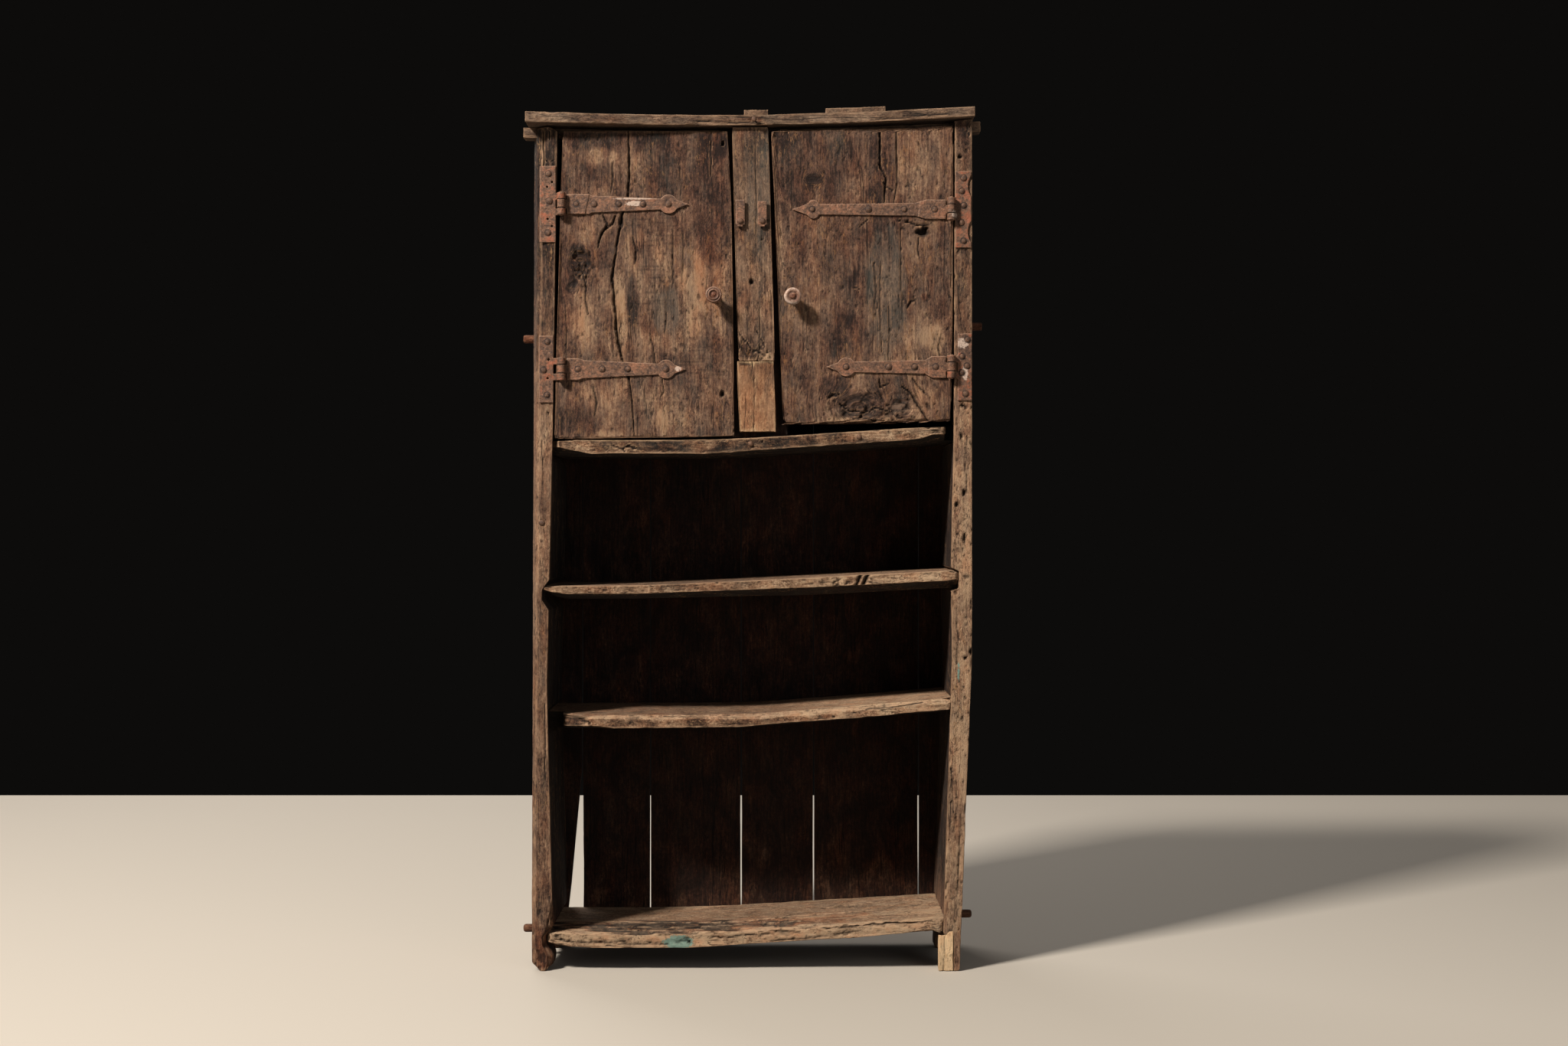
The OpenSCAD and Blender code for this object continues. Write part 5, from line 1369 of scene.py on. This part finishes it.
def even_skin(name_of_node, grid):
    """A node's shape as an even grid of small quads with softened edges: points in mm and faces."""
    cad = CadShape(name_of_node)
    rough = make_mesh("skin_in_work", cad.points, cad.triangles)
    work = bmesh.new()
    work.from_mesh(rough.data)
    bmesh.ops.remove_doubles(work, verts=work.verts, dist=0.001 * MM)
    work.to_mesh(rough.data)
    work.free()
    remesh = rough.modifiers.new("even", "REMESH")
    remesh.mode = "VOXEL"
    remesh.voxel_size = grid * MM
    mesh = evaluated_mesh(rough)
    points, faces = mesh_arrays(mesh, 4)
    bpy.data.objects.remove(rough)
    bpy.data.meshes.remove(mesh)
    return points, faces


def spread(values, faces, rounds):
    """Lets a mark run out over a mesh's neighbouring points."""
    links = [(faces[:, k], faces[:, (k + 1) % faces.shape[1]]) for k in range(faces.shape[1])]
    count = sum(np.bincount(ends, minlength=len(values)) for pair in links for ends in pair)
    for _ in range(rounds):
        total = sum(np.bincount(a, values[b], len(values)) + np.bincount(b, values[a], len(values))
                    for a, b in links)
        values = np.maximum(values, total / np.maximum(count, 1))
    return values


KNUCKLE_REACH = 9        # mm to each side of a hinge's middle that its knuckles take up
KNUCKLE_FRONT = -146     # the knuckles and straps lie in front of this place


def strap_root(name_of_node, home, normals):
    """How far each point of a strap stands out where its root is doubled."""
    raised = np.zeros(len(home))
    for left, right, slant, height in STRAP_ROOTS.get(name_of_node, ()):
        lean = home[:, X] - slant * (home[:, Z] - home[:, Z].mean())
        block = ease(lean, left - 0.6, left + 0.6) * (1 - ease(lean, right - 0.6, right + 0.6))
        raised += height * block * ease(-normals[:, Y], 0.3, 0.8)
    return raised


def hollow_dark(home, ridge, front, rims, seams):
    """The dark of iron's hollows, the painted shadow on the rims of its nails and the dark of the seams
    between its knuckles.
    """
    dark = ease(-ridge, 0.06, 0.35)
    # Rings of painted contact shadow round the nail heads
    for x, z, radius in rims:
        gap = np.hypot(home[:, X] - x, home[:, Z] - z)
        dark = np.maximum(dark, 0.85 * (1 - ease(gap, radius + 0.8, radius + 2.2)) * front)
    for place, height in seams:
        near = (np.abs(home[:, X] - place) < KNUCKLE_REACH) & (home[:, Y] < KNUCKLE_FRONT)
        dark = np.maximum(dark, (1 - ease(np.abs(home[:, Z] - height), 0.7, 1.6)) * near)
    return dark


def forged(name_of_node, name, seed, pits=0.45, dents=0.5, material=None, pale=(), rims=(), seams=()):
    """A forged iron piece: its node's shape, hammered, pitted, rusted, worn pale on its edges with painted
    highlight on those that face up and left, and dark round its nails, with painted shadow there, and
    between its knuckles."""
    points, faces = even_skin(name_of_node, IRON_GRID)
    home = points.copy()
    normals = point_normals(points, faces)
    front = normals[:, Y] < -0.5
    hammered = dents * rough_noise(points, 16, seed, 2)
    pitted = pits * ease(rough_noise(points, 6, seed + 1, 2), 0.50, 0.72)
    points = points - (hammered + pitted)[:, None] * normals
    points[:, Y] -= strap_root(name_of_node, home, normals)
    normals = point_normals(points, faces)
    ridge = bulge(points, normals, faces)
    # Edges that face up and left, towards the light, are lightened most: wear and painted highlight.
    upper = ease(normals[:, Z] - 0.5 * normals[:, X], -0.25, 0.5)
    worn = spread(ease(ridge, 0.05, 0.22) * (0.25 + 0.75 * upper), faces, 2)
    pale_and_highlit = np.zeros(len(points))
    for place, radius in pale:
        gap = np.hypot(*((points[:, [X, Z]] - place) / np.asarray(radius, float)).T)
        pale_and_highlit = np.maximum(pale_and_highlit, 0.58 * (1 - ease(gap, 0.5, 1.5)))
    marks = {"worn": worn, "crack": hollow_dark(home, ridge, front, rims, seams), "pale": pale_and_highlit}
    piece = make_mesh(name, points, faces, marks)
    finish_piece(piece, material or IRON, name_of_node)


def turned(profile, centre, axis, facets=40):
    """A shape turned on a lathe: profile is (radius, distance along the axis) from tip to root."""
    side_a, side_b = (k for k in range(3) if k != axis)
    angles = np.linspace(0, 2 * math.pi, facets, endpoint=False)
    rings = [np.asarray(centre, float)[None, :].repeat(facets, 0) for _ in profile]
    for ring, (radius, distance) in zip(rings, profile):
        ring[:, side_a] += radius * np.cos(angles)
        ring[:, side_b] += radius * np.sin(angles)
        ring[:, axis] += distance
    poles = np.array([rings[0].mean(0), rings[-1].mean(0)])
    points = np.concatenate(rings + [poles])
    here = np.arange(facets)
    after = (here + 1) % facets
    faces = []
    for k in range(len(profile) - 1):
        a, b = k * facets + here, k * facets + after
        c, d = a + facets, b + facets
        faces += [np.stack([a, c, d], axis=1), np.stack([a, d, b], axis=1)]
    last = (len(profile) - 1) * facets
    tip, root = len(points) - 2, len(points) - 1
    faces.append(np.stack([np.full(facets, tip), here, after], axis=1))
    faces.append(np.stack([np.full(facets, root), last + after, last + here], axis=1))
    faces = np.concatenate(faces)
    outward = np.sum(point_normals(points, faces) * (points - points.mean(0)), axis=1).sum()
    return points, faces if outward > 0 else faces[:, ::-1]


def smooth_profile(corners, per_step=4):
    """A profile that runs through its corners as a smooth curve."""
    corners = np.asarray(corners, float)
    ends = np.vstack([2 * corners[0] - corners[1], corners, 2 * corners[-1] - corners[-2]])
    curve = []
    for k in range(1, len(ends) - 2):
        p0, p1, p2, p3 = ends[k - 1:k + 3]
        for t in np.linspace(0, 1, per_step, endpoint=False):
            curve.append(0.5 * (2 * p1 + (p2 - p0) * t + (2 * p0 - 5 * p1 + 4 * p2 - p3) * t**2
                                + (3 * p1 - p0 - 3 * p2 + p3) * t**3))
    curve.append(corners[-1])
    curve = np.array(curve)
    curve[:, 0] = np.maximum(curve[:, 0], 0.3)
    return curve


# Knob profiles as (share of the radius, share of the stand from the door), from the face inwards
LEFT_KNOB = [(0.02, 0.955), (0.16, 0.955), (0.24, 0.925), (0.40, 0.915), (0.48, 0.955), (0.58, 0.975),
             (0.66, 0.945), (0.74, 0.925), (0.84, 0.945), (0.94, 0.915), (0.995, 0.86), (0.99, 0.78),
             (0.94, 0.70), (0.80, 0.60), (0.62, 0.50), (0.52, 0.38), (0.50, 0.22), (0.62, 0.10),
             (0.72, 0.04), (0.72, 0.0)]
RIGHT_KNOB = [(0.02, 0.985), (0.20, 0.985), (0.30, 0.955), (0.36, 0.915), (0.46, 0.905), (0.60, 0.925),
              (0.72, 0.925), (0.86, 0.90), (0.96, 0.85), (0.995, 0.78), (0.99, 0.68), (0.92, 0.58),
              (0.78, 0.49), (0.64, 0.40), (0.55, 0.30), (0.54, 0.14), (0.68, 0.05), (0.72, 0.0)]
KNOB_STEM = 14


def knob(name_of_node, name, shares, seed, pale):
    """A turned wooden knob with rings on its face."""
    cad = CadShape(name_of_node)
    radius = (cad.high[X] - cad.low[X]) / 2
    centre = (cad.low + cad.high) / 2
    door_face = CadShape("left_door").low[Y]
    stand = door_face - cad.low[Y]
    centre[Y] = door_face
    profile = smooth_profile([(r * radius, -d * stand) for r, d in shares])
    stem = [(0.72 * radius, 0.0), (0.42 * radius, 0.4), (0.40 * radius, KNOB_STEM)]
    points, faces = turned(np.vstack([profile, stem]), centre, Y, 56)
    normals = point_normals(points, faces)
    points -= (0.35 * rough_noise(points, 7, seed, 2))[:, None] * normals
    away = np.hypot(points[:, X] - centre[X], points[:, Z] - centre[Z])
    grooved = bulge(points, point_normals(points, faces), faces)
    grain = np.stack([points[:, X], points[:, Z], points[:, Y] * 0.3], axis=1) * MM + seed
    marks = {"grain": grain, "worn": 0.5 * ease(grooved, 0.02, 0.12),
             "crack": 0.7 * ease(-grooved, 0.02, 0.10),
             "tone": pale * ease(away, 0.5 * radius, 0.9 * radius) - 0.3,
             "warm": 1.0 - ease(away, 0.25 * radius, 0.45 * radius)}
    piece = make_mesh(name, points, faces, marks)
    finish_piece(piece, KNOB_WOOD, name_of_node)


# The pegs' two kinds of tip, rounded and flat, as (share of the radius, mm from the tip)
PEG_TIPS = [[(0.5, 0.0), (0.55, 0.2), (0.8, 1.2), (0.96, 3.4), (1.0, 7)],
            [(0.5, 0.0), (0.78, 0.3), (0.9, 0.9), (0.97, 2.2), (1.0, 5)]]


def pegs():
    """The four pegs whose ends stand out of the planks."""
    all_points, all_faces, start = [], [], 0
    for k, lump in enumerate(CadShape("board_pegs").lumps()):
        low, high = lump.min(0), lump.max(0)
        centre = (low + high) / 2
        radius = (high[Z] - low[Z]) / 2
        length = high[X] - low[X]
        inward = 1 if centre[X] < 0 else -1
        centre[X] = low[X] if inward > 0 else high[X]
        profile = [(r * radius, inward * d) for r, d in PEG_TIPS[k % 2]]
        profile += [(radius, inward * d) for d in np.linspace(9, length - 1, 10)]
        profile.append((radius * 0.9, inward * length))
        points, faces = turned(profile, centre, X, 28)
        points -= (0.6 * rough_noise(points, (22, 6, 6), 301 + k, 2))[:, None] * point_normals(points, faces)
        all_points.append(points)
        all_faces.append(faces + start)
        start += len(points)
    points, faces = np.concatenate(all_points), np.concatenate(all_faces)
    grain = np.stack([points[:, Z], points[:, Y], points[:, X]], axis=1) * MM
    piece = make_mesh("peg_ends", points, faces, {"grain": grain, "warm": np.full(len(points), 0.6)})
    finish_piece(piece, PEG_WOOD, "board_pegs")


def nail_places(name_of_node):
    """Where each nail of a node has its head: place, way that it faces, head's radius; all in mm."""
    found = []
    for lump in CadShape(name_of_node).lumps():
        size = lump.max(0) - lump.min(0)
        axis = int(np.argmax(size))
        middle = (lump.max(0) + lump.min(0)) / 2
        widths = {}
        for sign, end in ((-1, lump.min(0)[axis]), (1, lump.max(0)[axis])):
            near = lump[np.abs(lump[:, axis] - end) < 0.25 * size[axis]]
            widths[sign] = np.ptp(near, axis=0)[(axis + 1) % 3]
        sign = max(widths, key=widths.get)
        facing = np.zeros(3)
        facing[axis] = sign
        seat = middle.copy()
        seat[axis] = lump.max(0)[axis] if sign > 0 else lump.min(0)[axis]
        found.append((seat, facing, widths[sign] / 2))
    return found


NAIL_INPUTS = [("Geometry", "NodeSocketGeometry", None), ("Head Height", "NodeSocketFloat", 0.55),
               ("Shank Length", "NodeSocketFloat", 3.2), ("Shank Width", "NodeSocketFloat", 0.36),
               ("Hammering", "NodeSocketFloat", 0.0006), ("Seed", "NodeSocketInt", 3),
               ("Material", "NodeSocketMaterial", None)]


def combined(tree, x, y, z):
    """Three numbers of a node tree as one vector."""
    return node(tree, "ShaderNodeCombineXYZ", {"X": x, "Y": y, "Z": z}).outputs[0]


def one_nail(tree, given):
    """A nail of head radius 1 that points down: a low dome and a square shank that tapers."""
    dome = node(tree, "GeometryNodeMeshUVSphere",
                {"Segments": 11, "Rings": 8, "Radius": 1.0}).outputs["Mesh"]
    flattened = combined(tree, 1.0, 1.0, given["Head Height"])
    head = node(tree, "GeometryNodeTransform", {"Geometry": dome, "Scale": flattened})
    shaft = node(tree, "GeometryNodeMeshCone",
                 {"Vertices": 4, "Side Segments": 3, "Radius Top": 0.10,
                  "Radius Bottom": given["Shank Width"], "Depth": given["Shank Length"]}).outputs["Mesh"]
    shank = node(tree, "GeometryNodeTransform", {"Geometry": shaft, "Rotation": (math.pi, 0.0, 0.0)})
    nail = node(tree, "GeometryNodeJoinGeometry")
    for part in (head, shank):
        tree.links.new(part.outputs["Geometry"], nail.inputs["Geometry"])
    return nail.outputs[0]


def nails_tree():
    """Geometry nodes that set a forged nail, head and shank, at each point."""
    tree = bpy.data.node_groups.new("Forged nails", "GeometryNodeTree")
    for label, kind, value in NAIL_INPUTS:
        socket = tree.interface.new_socket(label, in_out="INPUT", socket_type=kind)
        if value is not None:
            socket.default_value = value
    tree.interface.new_socket("Geometry", in_out="OUTPUT", socket_type="NodeSocketGeometry")
    given = tree.nodes.new("NodeGroupInput").outputs
    result = tree.nodes.new("NodeGroupOutput").inputs

    def named(label, kind):
        made = node(tree, "GeometryNodeInputNamedAttribute", {"Name": label}, data_type=kind)
        return made.outputs["Attribute"]

    nail = one_nail(tree, given)
    turn = node(tree, "FunctionNodeRandomValue", {2: 0.0, 3: 6.28, "Seed": given["Seed"]}, data_type="FLOAT")
    aligned = node(tree, "FunctionNodeAlignRotationToVector", {"Vector": named("facing", "FLOAT_VECTOR")},
                   axis="Z")
    spun = node(tree, "FunctionNodeRotateRotation",
                {"Rotation": aligned.outputs[0], "Rotate By": combined(tree, 0.0, 0.0, turn.outputs[1])},
                rotation_space="LOCAL")
    placed = node(tree, "GeometryNodeInstanceOnPoints",
                  {"Points": given["Geometry"], "Instance": nail, "Rotation": spun.outputs[0],
                   "Scale": named("head", "FLOAT")})
    real = node(tree, "GeometryNodeRealizeInstances", {"Geometry": placed.outputs[0]})
    bumps = node(tree, "ShaderNodeTexNoise", {"Scale": 330.0, "Detail": 2.0})
    centred = node(tree, "ShaderNodeVectorMath", {0: bumps.outputs["Color"], 1: (0.5, 0.5, 0.5)},
                   operation="SUBTRACT")
    offset = node(tree, "ShaderNodeVectorMath", {0: centred.outputs[0]}, operation="SCALE")
    tree.links.new(given["Hammering"], offset.inputs["Scale"])
    hammered = node(tree, "GeometryNodeSetPosition",
                    {"Geometry": real.outputs[0], "Offset": offset.outputs[0]})
    painted = node(tree, "GeometryNodeSetMaterial",
                   {"Geometry": hammered.outputs[0], "Material": given["Material"]})
    tree.links.new(painted.outputs[0], result["Geometry"])
    return tree


def nails(name_of_node, name, seed, head_height=0.60, grow=1.17, stand=0.2):
    """All the nails of a node as one piece. head_height is a share of a head's radius, grow widens
    the heads, and stand is how far inside the node's head the dome stays."""
    places = nail_places(name_of_node)
    seats = np.array([seat for seat, _, _ in places])
    facing = np.array([way for _, way, _ in places])
    numbers = np.arange(len(places))[:, None] * np.ones((1, 3), int)
    radius = np.array([r for _, _, r in places]) * grow * (0.84 + 0.36 * scatter(numbers, seed))
    seats = seats - facing * (radius * head_height + stand)[:, None]
    mesh = bpy.data.meshes.new(name)
    mesh.from_pydata((seats * MM).tolist(), [], [])
    add_marks(mesh, {"facing": facing, "head": radius * MM})
    work = put_in_scene("nails_in_work", mesh)
    modifier = work.modifiers.new("nails", "NODES")
    modifier.node_group = NAILS
    sockets = {item.name: item.identifier for item in NAILS.interface.items_tree if item.in_out == "INPUT"}
    modifier[sockets["Head Height"]] = head_height
    modifier[sockets["Seed"]] = seed
    modifier[sockets["Material"]] = NAIL_IRON
    made = evaluated_mesh(work)
    bpy.data.objects.remove(work)
    made.name = name
    finish_piece(put_in_scene(name, made), None, name_of_node)


KNOB_WOOD = weathered_wood(
    "knob_wood_polished",
    [(56, 36, 27), (92, 63, 49), (122, 88, 69), (156, 124, 104), (200, 172, 152)],
    (176, 142, 120), contrast=0.6, dust=0.1, pores=0.3, relief=0.5, roughness=0.55)
PEG_WOOD = weathered_wood(
    "peg_wood_dark",
    [(40, 25, 18), (76, 50, 36), (108, 74, 53), (138, 100, 74), (166, 126, 96)],
    (146, 104, 76), contrast=0.8, dust=0.15)
NAILS = nails_tree()

# Where the iron is worn pale, and one thin line along the top edge of the upper left strap that is a painted
# highlight: (place, radius) in mm on the front
PALE_IRON_AND_HIGHLIGHT = [((-240, 1604), (26, 7)), ((-243, 1614), (56, 2.5)), ((442, 1312), (16, 14)),
             ((425, 1580), (8, 10)), ((-151, 1259), (9, 7)), ((448, 1250), (8, 20))]
# The doubled roots of the straps: where each starts and ends along x, its end's slant and its height
STRAP_ROOTS = {
    "left_upper_strap": [(-420, -341, 0.23, 1.4)],
    "left_lower_strap": [(-420, -352, -0.2, 0.8)],
    "right_upper_strap": [(352, 430, 0.1, 0.7)],
    "right_lower_strap": [(372, 430, 0.0, 0.7)],
}


def nail_rims(name_of_node):
    """Where each nail's head meets the iron under it, for its ring of painted shadow: x, z and the head's
    radius.
    """
    return [(seat[X], seat[Z], radius * 1.15) for seat, _, radius in nail_places(name_of_node)]


def knuckle_seams(place):
    """The x and the two heights at which a hinge's strap meets the plate's knuckles."""
    strap = CadShape(place + "_strap").points
    pin = CadShape(place + "_pin")
    middle = (pin.low[X] + pin.high[X]) / 2
    barrel = strap[np.abs(strap[:, X] - middle) < 4]
    return [(middle, barrel[:, Z].min()), (middle, barrel[:, Z].max())]


for place in ("left_upper", "left_lower", "right_upper", "right_lower"):
    side = place.split("_")[0]
    door_rims = nail_rims(side + "_strap_nails")
    knuckles = knuckle_seams(place)
    forged(place + "_plate", place + "_hinge_plate", 401, material=PLATE_IRON, pale=PALE_IRON_AND_HIGHLIGHT,
           rims=nail_rims("plate_nails"), seams=knuckles)
    forged(place + "_strap", place + "_hinge_strap", 402, pale=PALE_IRON_AND_HIGHLIGHT, rims=door_rims, seams=knuckles)
    forged(place + "_pin", place + "_hinge_pin", 403, pits=0.2, dents=0.2)
for side in ("left", "right"):
    forged(side + "_button", side + "_turn_button", 404, pits=0.3, dents=0.4)
    nails(side + "_button_screw", side + "_turn_screw", 7, head_height=0.5, grow=0.92, stand=0.3)
    nails(side + "_strap_nails", side + "_door_nails", 11)
knob("left_knob", "left_door_knob", LEFT_KNOB, 501, 0.7)
knob("right_knob", "right_door_knob", RIGHT_KNOB, 502, 2.2)
pegs()
for group, seed in (("plate_nails", 13), ("edge_nails", 17), ("stile_nails", 19), ("top_nails", 23),
                    ("back_nails", 29)):
    nails(group, group.replace("nails", "nail_heads"), seed)


# The stage: floor, camera and lamps

FLOOR_SIDE = 9.0
FLOOR_END = 2.8
CAMERA_PLACE = (0.070, -4.6925, 0.9368)
MIDDLE = Vector((0, -0.14, 0.95))
SUNWARD = Vector((-1.0, -1.0, 1.2)).normalized()
SUN_DISTANCE = 8.0
# Lamps as (name, place, size, power, colour)
LAMPS = [("key", MIDDLE + SUNWARD * SUN_DISTANCE, 1.1, 1030, (1.0, 0.97, 0.93)),
         ("fill", (2.6, -3.6, 1.6), 2.5, 22, (0.95, 0.97, 1.0)),
         ("rear", (-2.2, 4.2, 4.4), 3.0, 130, (0.98, 0.98, 1.0))]


def seen_by_camera(tree):
    """1 for the rays that see a colour, straight, mirrored or through glass, and 0 for those that light."""
    rays = node(tree, "ShaderNodeLightPath").outputs
    seen = plus(tree, rays["Is Camera Ray"], rays["Is Transmission Ray"], True)
    return plus(tree, seen, rays["Is Glossy Ray"], True)


def studio_floor():
    """A plain pale floor that ends behind the cabinet. Lamps find it greyer than the camera does."""
    points = [(-FLOOR_SIDE, -FLOOR_SIDE, 0), (FLOOR_SIDE, -FLOOR_SIDE, 0),
              (FLOOR_SIDE, FLOOR_END, 0), (-FLOOR_SIDE, FLOOR_END, 0)]
    mesh = bpy.data.meshes.new("studio_floor")
    mesh.from_pydata(points, [], [(0, 1, 2, 3)])
    floor = put_in_scene("studio_floor", mesh)
    material, tree, shader = new_material("studio_paper")
    colour = mixed(tree, seen_by_camera(tree), srgb(96, 92, 86), srgb(190, 179, 164))
    tree.links.new(colour, shader.inputs["Base Color"])
    shader.inputs["Roughness"].default_value = 0.9
    shader.inputs["Specular IOR Level"].default_value = 0.1
    mesh.materials.append(material)


def lamp(name, place, size, power, colour):
    """A square soft lamp that points at the middle of the cabinet."""
    light = bpy.data.lights.new(name, "AREA")
    light.size = size
    light.energy = power
    light.color = colour
    thing = put_in_scene(name, light)
    thing.location = place
    thing.rotation_euler = (MIDDLE - Vector(place)).to_track_quat("-Z", "Y").to_euler()


def camera():
    """The level camera in front of the cabinet, with a 50 mm lens."""
    data = bpy.data.cameras.new("camera")
    data.lens = 50
    data.sensor_width = 36
    data.clip_end = 60
    thing = put_in_scene("camera", data)
    thing.location = CAMERA_PLACE
    thing.rotation_euler = (math.pi / 2, 0, 0)
    bpy.context.scene.camera = thing


def studio():
    """Floor, world, lamps and camera."""
    studio_floor()
    world = bpy.data.worlds.new("studio")
    bpy.context.scene.world = world
    world.use_nodes = True
    tree = world.node_tree
    wall = mixed(tree, seen_by_camera(tree), (0.12, 0.122, 0.126, 1.0), srgb(13, 12, 11))
    tree.links.new(wall, tree.nodes["Background"].inputs["Color"])
    tree.nodes["Background"].inputs["Strength"].default_value = 1.0
    for values in LAMPS:
        lamp(*values)
    camera()
    bpy.context.scene.view_settings.view_transform = "Standard"


studio()
